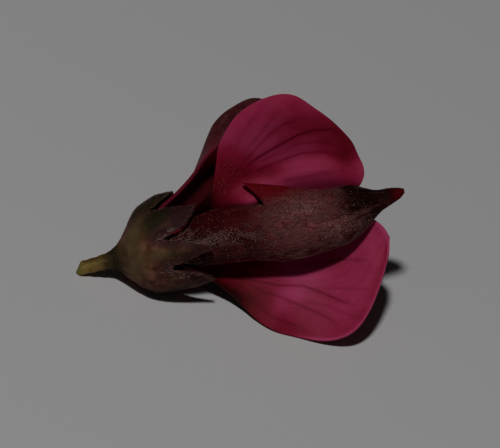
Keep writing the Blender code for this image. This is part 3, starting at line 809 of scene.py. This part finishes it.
# %% Keel shape
KEEL = (
    (1.50, 0.00, 0.42, 1.00, 0.82, 0.64),
    (2.40, 0.00, 0.60, 1.10, 0.80, 0.50),
    (2.80, 0.00, 0.78, 1.12, 0.66, 0.20),
    (3.20, 0.02, 0.92, 1.10, 0.40, -0.16),
    (3.70, 0.00, 0.99, 1.12, 0.26, -0.42),
    (4.70, -0.10, 1.00, 1.16, 0.25, -0.66),
    (5.70, -0.25, 1.06, 1.20, 0.25, -0.80),
    (6.80, -0.30, 1.12, 1.20, 0.25, -0.88),
    (7.60, -0.32, 1.08, 1.14, 0.22, -0.88),
    (8.40, -0.30, 1.05, 1.00, 0.16, -0.86),
    (9.00, -0.23, 0.88, 0.74, 0.06, -0.88),
    (9.50, -0.20, 0.57, 0.46, -0.04, -0.98),
    (9.85, -0.17, 0.37, 0.30, -0.08, -1.06),
    (10.30, -0.11, 0.26, 0.16, -0.11, -1.00),
    (10.62, -0.07, 0.17, 0.04, -0.12, -0.74),
    (10.80, -0.02, 0.07, -0.05, -0.13, -0.38),
)
SPUR_START, SPUR_PEAK, SPUR_END = 5.70, 5.98, 7.9
SPUR_UPPER_OUT, SPUR_LOWER_OUT = 0.92, 0.10
SPUR_SWEEP = 0.92
SPUR_DIRECTION_DEG, SPUR_SPREAD_DEG = 99.0, 27.0
SEAM_RIDGE = 0.07
FOOT_SWELL = 0.36
KEEL_SIDES, KEEL_RINGS = 96, 170


def spur_out(x, angle):
    if x < SPUR_START or x > SPUR_END:
        return 0.0
    if x < SPUR_PEAK:
        along = (x - SPUR_START) / (SPUR_PEAK - SPUR_START)
    else:
        along = 1.0 - (x - SPUR_PEAK) / (SPUR_END - SPUR_PEAK)
    height = SPUR_UPPER_OUT if angle > 0 else SPUR_LOWER_OUT
    return height * along * hump(abs(math.degrees(angle)) - SPUR_DIRECTION_DEG, SPUR_SPREAD_DEG)


def keel_x(s):
    """Place along the flower before the lobes are swept back."""
    return KEEL[0][0] + (KEEL[-1][0] - KEEL[0][0]) * s


def keel_place(s, angle):
    x = keel_x(s)
    bend, half_width, seam, widest, back = smooth(KEEL, x)
    side, rise = math.sin(angle), math.cos(angle)
    if rise >= 0.0:
        y = half_width * side
        z = widest + (seam - widest) * rise
        z += SEAM_RIDGE * hump(angle, 0.09) * step_up(x, 5.5, 8.0) * (1.0 - step_up(x, 9.6, 10.6))
    else:
        y = half_width * math.copysign(abs(side) ** 1.5, side)
        z = widest + (widest - back) * rise
    out = spur_out(x, angle)
    y += math.copysign(out, side)
    degrees = math.degrees(angle)
    foot = FOOT_SWELL * hump(x - 2.7, 0.85) * (hump(degrees - 34.0, 26.0) + 0.6 * hump(degrees + 26.0, 16.0))
    return Vector((x - SPUR_SWEEP * out, bend + y + foot * side, z + foot * rise))


print("the keel is", KEEL[-1][0] - KEEL[0][0], "mm long from its foot to its beak")

# %% [markdown]
# ## Keel skin
# Under its fur the keel is a dark wine red, nearly black towards the beak and crimson at its very tip and on
# the upper lobe. The fur could be a colour alone, but its hairs catch the light one by one. So they are shapes
# of their own further on, and the skin has its own colours and a paler felt where the fur is thick.

# %% Keel material
# The skin is dull, because the fur scatters what gloss it has.
KEEL_MOTTLE_MM = 0.40
keel_skin, keel_shader = start_material("wine_red_keel_petal", 0.6, 0.04)
keel_where = add_node(keel_skin, "TexCoord")
keel_dark = add_node(keel_skin, "Attribute", {"attribute_name": "dark"})
keel_crimson = add_node(keel_skin, "Attribute", {"attribute_name": "crimson"})
keel_felt = add_node(keel_skin, "Attribute", {"attribute_name": "felt"})
keel_mottle = add_node(
    keel_skin, "TexNoise", {}, {"Scale": 1.0 / (KEEL_MOTTLE_MM * MM), "Detail": 6.0, "Roughness": 0.7},
    {"Vector": keel_where.outputs["Object"]},
)
keel_ramp = add_node(keel_skin, "ValToRGB", links={"Fac": keel_mottle.outputs["Fac"]})
colour_stops(keel_ramp, [(0.36, "#2e0c10"), (0.50, "#411216"), (0.64, "#571b1f")])
felt_lie = add_node(
    keel_skin, "Mapping", {}, {"Scale": (40.0, 80.0, 1.0)}, {"Vector": keel_where.outputs["UV"]}
)
felt_patches = add_node(
    keel_skin, "TexNoise", {"noise_dimensions": "2D"}, {"Scale": 1.0, "Detail": 6.0, "Roughness": 0.8},
    {"Vector": felt_lie.outputs["Vector"]},
)
felt_some = add_node(
    keel_skin, "MapRange", {}, {"From Min": 0.38, "From Max": 0.62, "To Min": 0.15, "To Max": 1.0},
    {"Value": felt_patches.outputs["Fac"]},
)
felt_here = add_node(
    keel_skin, "Math", {"operation": "MULTIPLY"},
    links={0: keel_felt.outputs["Fac"], 1: felt_some.outputs["Result"]},
)
keel_colour = keel_ramp.outputs["Color"]
for amount, tone in (
    (keel_crimson.outputs["Fac"], "#701320"),
    (felt_here.outputs[0], "#9a5a5c"),
    (keel_dark.outputs["Fac"], "#26120f"),
):
    keel_colour = add_node(
        keel_skin, "Mix", {"data_type": "RGBA"}, {"B": linear(tone)}, {"Factor": amount, "A": keel_colour}
    ).outputs["Result"]
plug(keel_skin, keel_colour, keel_shader.inputs["Base Color"])
keel_bump = add_node(
    keel_skin, "Bump", {}, {"Strength": 0.35, "Distance": 0.03 * MM}, {"Height": keel_mottle.outputs["Fac"]}
)
plug(keel_skin, keel_bump.outputs["Normal"], keel_shader.inputs["Normal"])
print(keel_skin.name, "has", len(keel_skin.node_tree.nodes), "nodes")


# %% Keel petals
def lobe_here(s, angle):
    """Only the upper lobe is bare and crimson: one on it, nothing on the boat's flank."""
    return clamp(2.6 * spur_out(keel_x(s), angle))


def keel_dark_at(s, angle, point):
    degrees = math.degrees(angle)
    beak = step_up(point.x, 8.2, 9.0) * (1.0 - 0.6 * step_up(point.x, 10.0, 10.6))
    upper_side = step_up(degrees, 4.0, 18.0)
    # Painted shade on the underside, which faces away from the lamp.
    shaded_underside = step_up(-degrees, 80.0, 105.0) * step_up(point.x, 2.5, 3.5)
    # Painted shade on the foot, down in the calyx.
    foot = (1.0 - step_up(point.x, 3.0, 4.2)) * 0.35
    return clamp(beak * (0.55 + 0.42 * upper_side) + 0.6 * shaded_underside + foot)


def keel_crimson_at(s, angle, point):
    degrees = math.degrees(angle)
    flank = step_up(degrees, 10.0, 40.0) * (1.0 - step_up(degrees, 95.0, 120.0))
    flank *= 1.0 - step_up(point.x, 4.8, 6.4)
    # The lower flank is crimson, partly its own colour and partly painted light bounced into its shade.
    lower_crimson_and_bounce = step_up(-degrees, 40.0, 65.0) * (1.0 - step_up(-degrees, 85.0, 110.0))
    lower_crimson_and_bounce *= 1.0 - step_up(point.x, 6.8, 8.0)
    tip = step_up(point.x, 10.0, 10.6)
    return clamp(lobe_here(s, angle) + 0.22 * flank + 0.60 * lower_crimson_and_bounce + tip)


def keel_felt_at(s, angle, point):
    degrees = math.degrees(angle)
    spread = step_up(point.x, 4.6, 6.6) * (1.0 - step_up(point.x, 7.3, 8.9) * step_up(degrees, -10.0, 14.0))
    spread *= 1.0 - step_up(point.x, 8.8, 9.6)
    spread *= 1.0 - lobe_here(s, angle)
    spread *= 1.0 - 0.9 * step_up(-degrees, 5.0, 70.0)
    line = hump(angle, 0.07) * step_up(point.x, 6.6, 8.0) * (1.0 - step_up(point.x, 9.6, 10.2))
    smooth_side = 0.22 * hump(degrees + 30.0, 20.0) * (1.0 - step_up(point.x, 4.5, 6.0))
    return clamp(0.80 * spread + 0.9 * line + smooth_side)


finish_piece(
    "keel_petals",
    bent_sleeve(
        KEEL_SIDES, KEEL_RINGS, keel_place,
        [("dark", keel_dark_at), ("crimson", keel_crimson_at), ("felt", keel_felt_at)],
    ),
    ["keel"], keel_skin,
)

# %% [markdown]
# ## Calyx
# The calyx is a bell with five teeth. The teeth could be cut out of a bell, but the faces would end ragged, so
# a short cylinder is bent into the bell and its rim is drawn out into the teeth. Between them the wall dips in
# a little, and each tooth has a faint rib down its middle.

# %% Calyx shape
CALYX_PROFILE = (
    (0.0, 0.34, 0.00),
    (0.3, 0.58, -0.06),
    (0.6, 0.92, -0.08),
    (0.9, 1.26, -0.03),
    (1.2, 1.49, 0.02),
    (1.7, 1.62, 0.04),
    (2.3, 1.66, 0.04),
    (3.0, 1.64, 0.02),
    (3.9, 1.62, 0.00),
)
CALYX_FLARE = 0.26
CALYX_FLARE_DIRECTION_DEG = 140.0
# The rim from round the back to round the back: direction, counted from the seam's side, and reach. The high
# places are the tips of the teeth, and the low ones the sinuses between them.
CALYX_RIM = (
    (-180.0, 1.75),
    (-139.0, 2.80),
    (-104.0, 1.45),
    (-84.0, 2.20),
    (-62.0, 3.10),
    (-53.0, 3.42),
    (-40.0, 3.12),
    (-30.0, 2.80),
    (-26.0, 2.30),
    (-21.0, 1.92),
    (-15.0, 1.96),
    (-11.0, 2.40),
    (-6.0, 3.00),
    (-2.0, 3.46),
    (1.0, 3.62),
    (5.0, 3.38),
    (12.5, 2.70),
    (22.0, 1.92),
    (25.0, 1.85),
    (30.0, 2.20),
    (35.0, 2.66),
    (45.0, 3.00),
    (61.0, 3.28),
    (64.0, 2.60),
    (67.5, 2.12),
    (74.0, 1.48),
    (80.0, 1.92),
    (90.0, 2.42),
    (100.0, 2.66),
    (116.0, 2.62),
    (140.0, 2.80),
    (180.0, 1.75),
)
CALYX_SINUSES = (-104.0, -18.0, 24.0, 75.0, 180.0)
CALYX_TIPS = (-139.0, -54.0, 2.0, 52.0, 140.0)
CALYX_CUP = 1.05
CALYX_CUP_SHARE = 0.40
CALYX_BLADE = 0.12
CALYX_SIDES, CALYX_RINGS = 180, 70


def turn_between(degrees, direction):
    return abs((degrees - direction + 180.0) % 360.0 - 180.0)


def calyx_rim(degrees):
    for (low, low_reach), (high, high_reach) in zip(CALYX_RIM, CALYX_RIM[1:]):
        if low <= degrees <= high:
            return low_reach + (high_reach - low_reach) * (degrees - low) / (high - low)
    return CALYX_RIM[0][1]


def calyx_place(s, angle):
    degrees = math.degrees(angle)
    if s < CALYX_CUP_SHARE:
        x = CALYX_CUP * s / CALYX_CUP_SHARE
    else:
        beyond = (s - CALYX_CUP_SHARE) / (1.0 - CALYX_CUP_SHARE)
        x = CALYX_CUP + (calyx_rim(degrees) - CALYX_CUP) * beyond
    radius, bend = smooth(CALYX_PROFILE, x)
    towards = max(math.cos(angle - math.radians(CALYX_FLARE_DIRECTION_DEG)), 0.0)
    radius += CALYX_FLARE * towards * min(x / 2.0, 1.0) ** 2
    sinus = max(hump(turn_between(degrees, middle), 10.0) for middle in CALYX_SINUSES)
    rib = max(hump(turn_between(degrees, middle), 8.0) for middle in CALYX_TIPS)
    radius -= 0.11 * sinus * hump(x - 1.9, 0.6)
    radius += 0.035 * rib * step_up(x, 0.8, 1.8)
    return Vector((x, bend + radius * math.sin(angle), radius * math.cos(angle)))


print("the longest calyx tooth reaches", max(reach for _, reach in CALYX_RIM), "mm")

# %% Calyx material
# A calyx is leaf tissue under fine down: dull, and mottled where green shows through the reddish brown.
CALYX_MOTTLE_MM = 0.35
calyx_skin, calyx_shader = start_material("downy_calyx", 0.6, 0.08)
calyx_where = add_node(calyx_skin, "TexCoord")
calyx_mottle = add_node(
    calyx_skin, "TexNoise", {}, {"Scale": 1.0 / (CALYX_MOTTLE_MM * MM), "Detail": 5.0, "Roughness": 0.6},
    {"Vector": calyx_where.outputs["Object"]},
)
calyx_ramp = add_node(calyx_skin, "ValToRGB", links={"Fac": calyx_mottle.outputs["Fac"]})
colour_stops(calyx_ramp, [(0.36, "#573329"), (0.5, "#714938"), (0.64, "#8c634e")])
calyx_colour = calyx_ramp.outputs["Color"]
# The green layer also carries painted shade on the back of the cup, and the pale olive layer some painted light
# thrown up from the paper.
for layer, tone in (("green", "#2e2b19"), ("pale_olive_and_bounce", "#6c6244"), ("mauve", "#3f2024")):
    amount = add_node(calyx_skin, "Attribute", {"attribute_name": layer})
    calyx_colour = add_node(
        calyx_skin, "Mix", {"data_type": "RGBA"}, {"B": linear(tone)},
        {"Factor": amount.outputs["Fac"], "A": calyx_colour},
    ).outputs["Result"]
plug(calyx_skin, calyx_colour, calyx_shader.inputs["Base Color"])
calyx_bump = add_node(
    calyx_skin, "Bump", {}, {"Strength": 0.45, "Distance": 0.04 * MM}, {"Height": calyx_mottle.outputs["Fac"]}
)
plug(calyx_skin, calyx_bump.outputs["Normal"], calyx_shader.inputs["Normal"])
print(calyx_skin.name, "has", len(calyx_skin.node_tree.nodes), "nodes")

# %% Calyx cup
# Tinted places of the cup: direction and place along it, half widths in degrees and mm, strength.
CALYX_GREENS = (
    (43.0, 1.60, 12.0, 0.50, 1.0),
    (59.0, 1.80, 10.0, 0.80, 1.0),
    (3.0, 2.05, 8.0, 0.55, 0.85),
    (56.0, 2.40, 11.0, 0.45, 0.8),
    (-4.0, 2.60, 6.0, 0.40, 0.5),
    (76.0, 2.10, 14.0, 0.50, 0.6),
    (-60.0, 2.30, 16.0, 0.60, 0.5),
    (28.0, 0.45, 32.0, 0.15, 0.5),
)
# Pale olive places. The two low on the lower side, at -12 and -28 degrees, are painted light thrown up from the
# paper.
CALYX_PALE_OLIVE_AND_BOUNCE = (
    (32.0, 0.75, 30.0, 0.32, 0.6),
    (-12.0, 0.80, 24.0, 0.30, 0.45),
    (-28.0, 0.50, 20.0, 0.25, 0.6),
    (5.0, 1.50, 8.0, 0.50, 0.5),
    (60.0, 0.95, 20.0, 0.40, 0.5),
)
CALYX_MAUVES = (
    (25.0, 1.75, 9.0, 0.35, 0.9),
    (15.0, 2.15, 6.0, 0.35, 0.8),
    (33.0, 1.90, 7.0, 0.35, 0.8),
    (-19.0, 1.80, 10.0, 0.36, 1.0),
    (-8.0, 2.25, 7.0, 0.40, 0.6),
    (-40.0, 1.70, 22.0, 0.60, 0.35),
    (76.0, 1.15, 14.0, 0.35, 0.3),
    (34.0, 2.50, 16.0, 0.50, 0.9),
    (56.0, 2.90, 14.0, 0.55, 0.9),
    (-34.0, 2.60, 12.0, 0.45, 0.8),
)


def tint(spots, degrees, x):
    return clamp(sum(
        strength * hump(turn_between(degrees, middle), wide) * hump(x - along, far)
        for middle, along, wide, far, strength in spots
    ))


def calyx_green_and_back_shade_at(s, angle, point):
    degrees = math.degrees(angle)
    foot = 1.0 - step_up(point.x, 0.15, 0.5)
    # Painted shade: the back of the cup, turned away from the lamp, is drawn dark green-brown.
    back = step_up(turn_between(degrees, 6.0), 54.0, 74.0) * step_up(point.x, 0.6, 1.1)
    return clamp(tint(CALYX_GREENS, degrees, point.x) + 0.9 * foot + 0.95 * back)


def calyx_pale_olive_and_bounce_at(s, angle, point):
    return tint(CALYX_PALE_OLIVE_AND_BOUNCE, math.degrees(angle), point.x)


def calyx_mauve_at(s, angle, point):
    tips = step_up(point.x, 2.2, 3.0)
    return clamp(tint(CALYX_MAUVES, math.degrees(angle), point.x) + 0.9 * tips)


calyx_shape = bent_sleeve(
    CALYX_SIDES, CALYX_RINGS, calyx_place,
    [("green", calyx_green_and_back_shade_at), ("pale_olive_and_bounce", calyx_pale_olive_and_bounce_at), ("mauve", calyx_mauve_at)],
    closed=False,
)
# One face closes the foot. Then the faces are turned outwards, because the wall gets its thickness inwards.
floor_edges = [e for e in calyx_shape.edges if e.is_boundary and max(v.co.x for v in e.verts) < 1e-6]
bmesh.ops.contextual_create(calyx_shape, geom=floor_edges)
bmesh.ops.recalc_face_normals(calyx_shape, faces=calyx_shape.faces)
if sum(f.normal.dot(f.calc_center_median() * Vector((0, 1, 1))) for f in calyx_shape.faces) < 0:
    bmesh.ops.reverse_faces(calyx_shape, faces=calyx_shape.faces)
finish_piece("calyx_cup", calyx_shape, ["calyx"], calyx_skin, CALYX_BLADE)

# %% [markdown]
# ## Stalk
# The stalk is short and stout, with a cut end that shows green flesh, and it swells into a darker collar where
# the calyx sits. A curve with a round bevel would give a plain tube. A sleeve of rings is used instead, so that
# shallow ridges and the rounded, slanting cut come from the same few lines.

# %% Stalk
STALK_END = Vector((-1.20, -0.12, -0.22))
STALK_TOP = Vector((0.10, 0.0, 0.0))
STALK_SIDES, STALK_RINGS = 48, 40
STALK_GRAIN_MM = 0.12


def stalk_place(s, angle):
    middle = STALK_END.lerp(STALK_TOP, s) + Vector((0.0, 0.0, 0.05 * math.sin(math.pi * s)))
    radius = 0.25 + 0.10 * s**3 + 0.012 * math.sin(5 * angle) + 0.008 * math.sin(23 * s)
    if s < 0.06:
        radius *= 0.45 + 0.55 * math.sqrt(s / 0.06)
    middle.x -= 0.20 * (1.0 - step_up(s, 0.0, 0.2)) * (0.5 - 0.5 * math.sin(angle))
    return middle + Vector((0.0, radius * math.sin(angle), radius * math.cos(angle)))


def stalk_brown_at(s, angle, point):
    """A brown line along the side that lies away from the paper, darkest beside the cut."""
    line = 0.8 * hump(math.degrees(angle) - 72.0, 24.0)
    return line * step_up(s, 0.06, 0.14) * (1.0 - step_up(s, 0.5, 0.8))


# A young stalk is smooth and slightly waxy: yellow-olive, browner towards the calyx, with rubbed brown patches.
stalk_skin, stalk_shader = start_material("green_stalk", 0.5, 0.2)
stalk_along = add_node(stalk_skin, "Attribute", {"attribute_name": "along"})
stalk_ramp = add_node(stalk_skin, "ValToRGB", links={"Fac": stalk_along.outputs["Fac"]})
colour_stops(
    stalk_ramp, [(0.0, "#767a38"), (0.10, "#8f7d48"), (0.55, "#7e6a3c"), (0.70, "#53452a"), (0.9, "#3c3220")]
)
stalk_where = add_node(stalk_skin, "TexCoord")
stalk_grain = add_node(
    stalk_skin, "TexNoise", {}, {"Scale": 1.0 / (STALK_GRAIN_MM * MM), "Detail": 4.0},
    {"Vector": stalk_where.outputs["Object"]},
)
stalk_bump = add_node(
    stalk_skin, "Bump", {}, {"Strength": 0.4, "Distance": 0.02 * MM},
    {"Height": stalk_grain.outputs["Fac"]},
)
stalk_patches = add_node(
    stalk_skin, "MapRange", {}, {"From Min": 0.48, "From Max": 0.66, "To Min": 0.0, "To Max": 0.4},
    {"Value": stalk_grain.outputs["Fac"]},
)
stalk_patched = add_node(
    stalk_skin, "Mix", {"data_type": "RGBA", "blend_type": "MULTIPLY"}, {"B": linear("#a08a66")},
    {"Factor": stalk_patches.outputs["Result"], "A": stalk_ramp.outputs["Color"]},
)
stalk_brown = add_node(stalk_skin, "Attribute", {"attribute_name": "brown"})
stalk_browned = add_node(
    stalk_skin, "Mix", {"data_type": "RGBA"}, {"B": linear("#553a22")},
    {"Factor": stalk_brown.outputs["Fac"], "A": stalk_patched.outputs["Result"]},
)
plug(stalk_skin, stalk_browned.outputs["Result"], stalk_shader.inputs["Base Color"])
plug(stalk_skin, stalk_bump.outputs["Normal"], stalk_shader.inputs["Normal"])
finish_piece(
    "cut_stalk",
    bent_sleeve(
        STALK_SIDES, STALK_RINGS, stalk_place, [("along", lambda s, angle, point: s), ("brown", stalk_brown_at)]
    ),
    ["pedicel"], stalk_skin,
)

# %% [markdown]
# ## Stamens and pistil
# They lie inside the keel, where only a probing look finds them. They could be modelled again more finely, but
# nobody would see it, so their solids stay as they are and get the finish of real ones: pale, moist threads and
# a green, slightly waxy ovary.

# %% Materials for the inner parts
TISSUE_SPECKLE_MM = 0.2


def plain_tissue(name, hex_low, hex_high, roughness):
    made, shader = start_material(name, roughness)
    place = add_node(made, "TexCoord")
    speckle = add_node(
        made, "TexNoise", {}, {"Scale": 1.0 / (TISSUE_SPECKLE_MM * MM), "Detail": 3.0},
        {"Vector": place.outputs["Object"]},
    )
    ramp = add_node(made, "ValToRGB", links={"Fac": speckle.outputs["Fac"]})
    colour_stops(ramp, [(0.35, hex_low), (0.65, hex_high)])
    plug(made, ramp.outputs["Color"], shader.inputs["Base Color"])
    return made


thread_skin = plain_tissue("moist_stamen_thread", "#c9a29c", "#dfc2b4", 0.4)
ovary_skin = plain_tissue("waxy_ovary", "#7d8a45", "#93a05a", 0.4)
for node_name, skin in (
    ("staminal_sheath", thread_skin),
    ("free_stamen", thread_skin),
    ("pistil", ovary_skin),
):
    node_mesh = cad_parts[node_name].data
    node_mesh.materials.clear()
    node_mesh.materials.append(skin)
    print(node_name, "gets", skin.name)

# %% [markdown]
# ## Hairs
# Indigofera hairs lie flat, like splinters of glass, all pointing along the petal. Hair curves would be quick
# to draw, but an exported model loses them. So each hair here is a thin three-sided spike with four faces, laid
# on the surface with a small random turn, and the light finds it from any side. A coat is grown by trial: a
# random place is kept or dropped, depending on how thick the fur is there.

# %% Hair coat
rng = random.Random(7)
HAIR_BATCH = 100


def surface_frame(place, s, other, middle, step=0.004):
    """A place on a piece, the directions along and across the piece there, and the outward normal.

    middle is the y and z of the piece's inside, which tells outwards from inwards.
    """
    here = place(s, other)
    along = (place(s + step, other) - place(s - step, other)).normalized()
    sideways = (place(s, other + step * 6) - place(s, other - step * 6)).normalized()
    outward = along.cross(sideways).normalized()
    if outward.dot(here - Vector((here.x, *middle))) < 0:
        outward = -outward
    return here, along, sideways, outward


def grow_hair(at, swing, lift, length, width, off_skin):
    """One hair at a surface frame. swing is a mean and a spread, the others are the least and the most."""
    here, along, sideways, outward = at
    direction = along + sideways * rng.gauss(*swing) + outward * rng.uniform(*lift)
    return here + outward * off_skin, direction.normalized(), rng.uniform(*length), rng.uniform(*width)


def lay_hairs(name, hairs, material):
    """hairs holds (root, direction, length, width) of each hair in millimetres. Batches keep this quick."""
    coat = bmesh.new()
    for first in range(0, len(hairs), HAIR_BATCH):
        few = bmesh.new()
        for root, direction, length, width in hairs[first : first + HAIR_BATCH]:
            turn_to = direction.to_track_quat("Z", "X").to_matrix().to_4x4()
            middle = root + direction * (length / 2)
            bmesh.ops.create_cone(
                few, cap_ends=True, cap_tris=True, segments=3, radius1=width / 2, radius2=0.0, depth=length,
                matrix=Matrix.Translation(middle) @ turn_to,
            )
        patch = bpy.data.meshes.new("batch")
        few.to_mesh(patch)
        few.free()
        coat.from_mesh(patch)
        bpy.data.meshes.remove(patch)
    finish_piece(name, coat, [], material, smooth_faces=False)


# A hair is clear and smooth, so its colour is faint, and what shows is a sharp glint on a few of them.
hair_skin, hair_shader = start_material("glassy_hair", 0.22, 0.5)
hair_shader.inputs["Base Color"].default_value = linear("#a87876")
# The shining hairs' pale colour is a painted glint. The same colour is the real white of the hairs in the
# sinuses and on the rim.
shine_skin, shine_shader = start_material("shining_hair", 0.15, 0.8)
shine_shader.inputs["Base Color"].default_value = linear("#f4dccb")
print("each hair gets 4 faces, in batches of", HAIR_BATCH)

# %% Hairs of the keel
# They are drawn thinner than real ones, which are about 0.01 mm or more, so that the coat reads as a haze.
KEEL_HAIRS = 10000
KEEL_MIDDLE = (-0.2, 0.1)


def keel_hair_wanted(x, degrees):
    """How thick the coat is: dense on the boat's middle and along the ridge at its foot, bare on the lobes."""
    coat = step_up(x, 4.8, 6.6) * (1.0 - step_up(x, 7.4, 9.0) * step_up(degrees, -8.0, 16.0))
    coat *= 1.0 - step_up(x, 8.9, 9.6)
    coat *= 0.22 + 0.78 * hump(degrees - 38.0, 36.0)
    ridge = hump(degrees - 10.0, 13.0) * (1.0 - step_up(x, 4.6, 5.8))
    return 0.9 * coat + 0.6 * ridge + 0.03


keel_hairs = []
while len(keel_hairs) < KEEL_HAIRS:
    s, angle = rng.uniform(0.05, 0.93), rng.uniform(-1.7, 1.9)
    clump = 0.5 + 1.3 * noise.noise(Vector((keel_x(s) * 2.2, angle * 4.0, 0.0)))
    wanted = keel_hair_wanted(keel_x(s), math.degrees(angle)) * clump * (1.0 - lobe_here(s, angle))
    if rng.random() > wanted:
        continue
    at = surface_frame(keel_place, s, angle, KEEL_MIDDLE)
    keel_hairs.append(grow_hair(at, (0.0, 0.30), (0.02, 0.22), (0.08, 0.20), (0.0035, 0.006), 0.006))
lay_hairs("keel_hairs", keel_hairs, hair_skin)

# %% Shining hairs
# Here and there a hair lies just right and flashes. These few are glossy, and their paler colour is a
# painted glint. They stand where the coat is thickest: the middle of the boat's flank, its seam, and the ridge
# between the calyx teeth.
SHINING_HAIRS = 1200
shining_hairs = []
while len(shining_hairs) < SHINING_HAIRS:
    s, angle = rng.uniform(0.05, 0.85), rng.uniform(-0.9, 1.6)
    x, degrees = keel_x(s), math.degrees(angle)
    flank = hump(x - 7.0, 0.75) * hump(degrees - 48.0, 16.0)
    seam_side = 0.5 * hump(x - 8.2, 0.6) * hump(degrees, 20.0)
    ridge = hump(x - 3.3, 1.1) * hump(degrees - 12.0, 12.0)
    if rng.random() > flank + seam_side + 1.2 * ridge + 0.018:
        continue
    at = surface_frame(keel_place, s, angle, KEEL_MIDDLE)
    shining_hairs.append(grow_hair(at, (0.0, 0.5), (0.1, 0.4), (0.02, 0.045), (0.011, 0.020), 0.01))
lay_hairs("keel_shining_hairs", shining_hairs, shine_skin)

# %% Pale hairs in the sinuses
# Where two teeth part, longer pale hairs bridge the dip and point along the keel. A few more stand on the rim.
SINUS_HAIRS = 260
RIM_HAIRS = 90
UPPER_SINUS, LOWER_SINUS = (27.0, 2.25, 9.0), (-22.0, 2.30, 6.0)
sinus_hairs = []
while len(sinus_hairs) < SINUS_HAIRS:
    direction_deg, reach, wide = rng.choice((UPPER_SINUS, UPPER_SINUS, LOWER_SINUS))
    degrees = rng.gauss(direction_deg, wide)
    s = (rng.gauss(reach, 0.32) - KEEL[0][0]) / (KEEL[-1][0] - KEEL[0][0])
    at = surface_frame(keel_place, s, math.radians(degrees), KEEL_MIDDLE)
    sinus_hairs.append(grow_hair(at, (0.1, 0.35), (0.1, 0.35), (0.12, 0.28), (0.005, 0.009), 0.01))
lay_hairs("sinus_hairs", sinus_hairs, shine_skin)

rim_hairs = []
while len(rim_hairs) < RIM_HAIRS:
    angle = math.radians(rng.choice((rng.uniform(-36.0, -18.0), rng.uniform(24.0, 36.0))))
    here, _, sideways, _ = surface_frame(calyx_place, rng.uniform(0.70, 0.99), angle, (0.0, 0.0))
    at = here, Vector((1.0, 0.0, 0.0)), sideways, Vector((0.0, here.y, here.z)).normalized()
    rim_hairs.append(grow_hair(at, (0.0, 0.35), (0.05, 0.30), (0.10, 0.20), (0.004, 0.007), 0.01))
lay_hairs("sinus_rim_hairs", rim_hairs, shine_skin)

# %% Hairs of the calyx
# The down is thin on the cup and thicker along the teeth's edges, where it fringes them.
CALYX_HAIRS = 2300
calyx_hairs = []
while len(calyx_hairs) < CALYX_HAIRS:
    s, angle = rng.uniform(0.1, 0.995), rng.uniform(-math.pi, math.pi)
    at = surface_frame(calyx_place, s, angle, (0.0, 0.0))
    x, degrees = at[0].x, math.degrees(angle)
    sinus = max(hump(turn_between(degrees, middle), 9.0) for middle in CALYX_SINUSES)
    edge = 0.45 * step_up(s, 0.90, 1.0) * step_up(x, 1.3, 1.9) + 0.3 * sinus * hump(x - 2.0, 0.4)
    edge *= 1.0 - 0.85 * step_up(abs(degrees), 80.0, 115.0)
    if rng.random() > 0.06 + edge:
        continue
    calyx_hairs.append(grow_hair(at, (0.0, 0.40), (0.02, 0.30), (0.08, 0.20), (0.005, 0.008), 0.006))
lay_hairs("calyx_hairs", calyx_hairs, hair_skin)
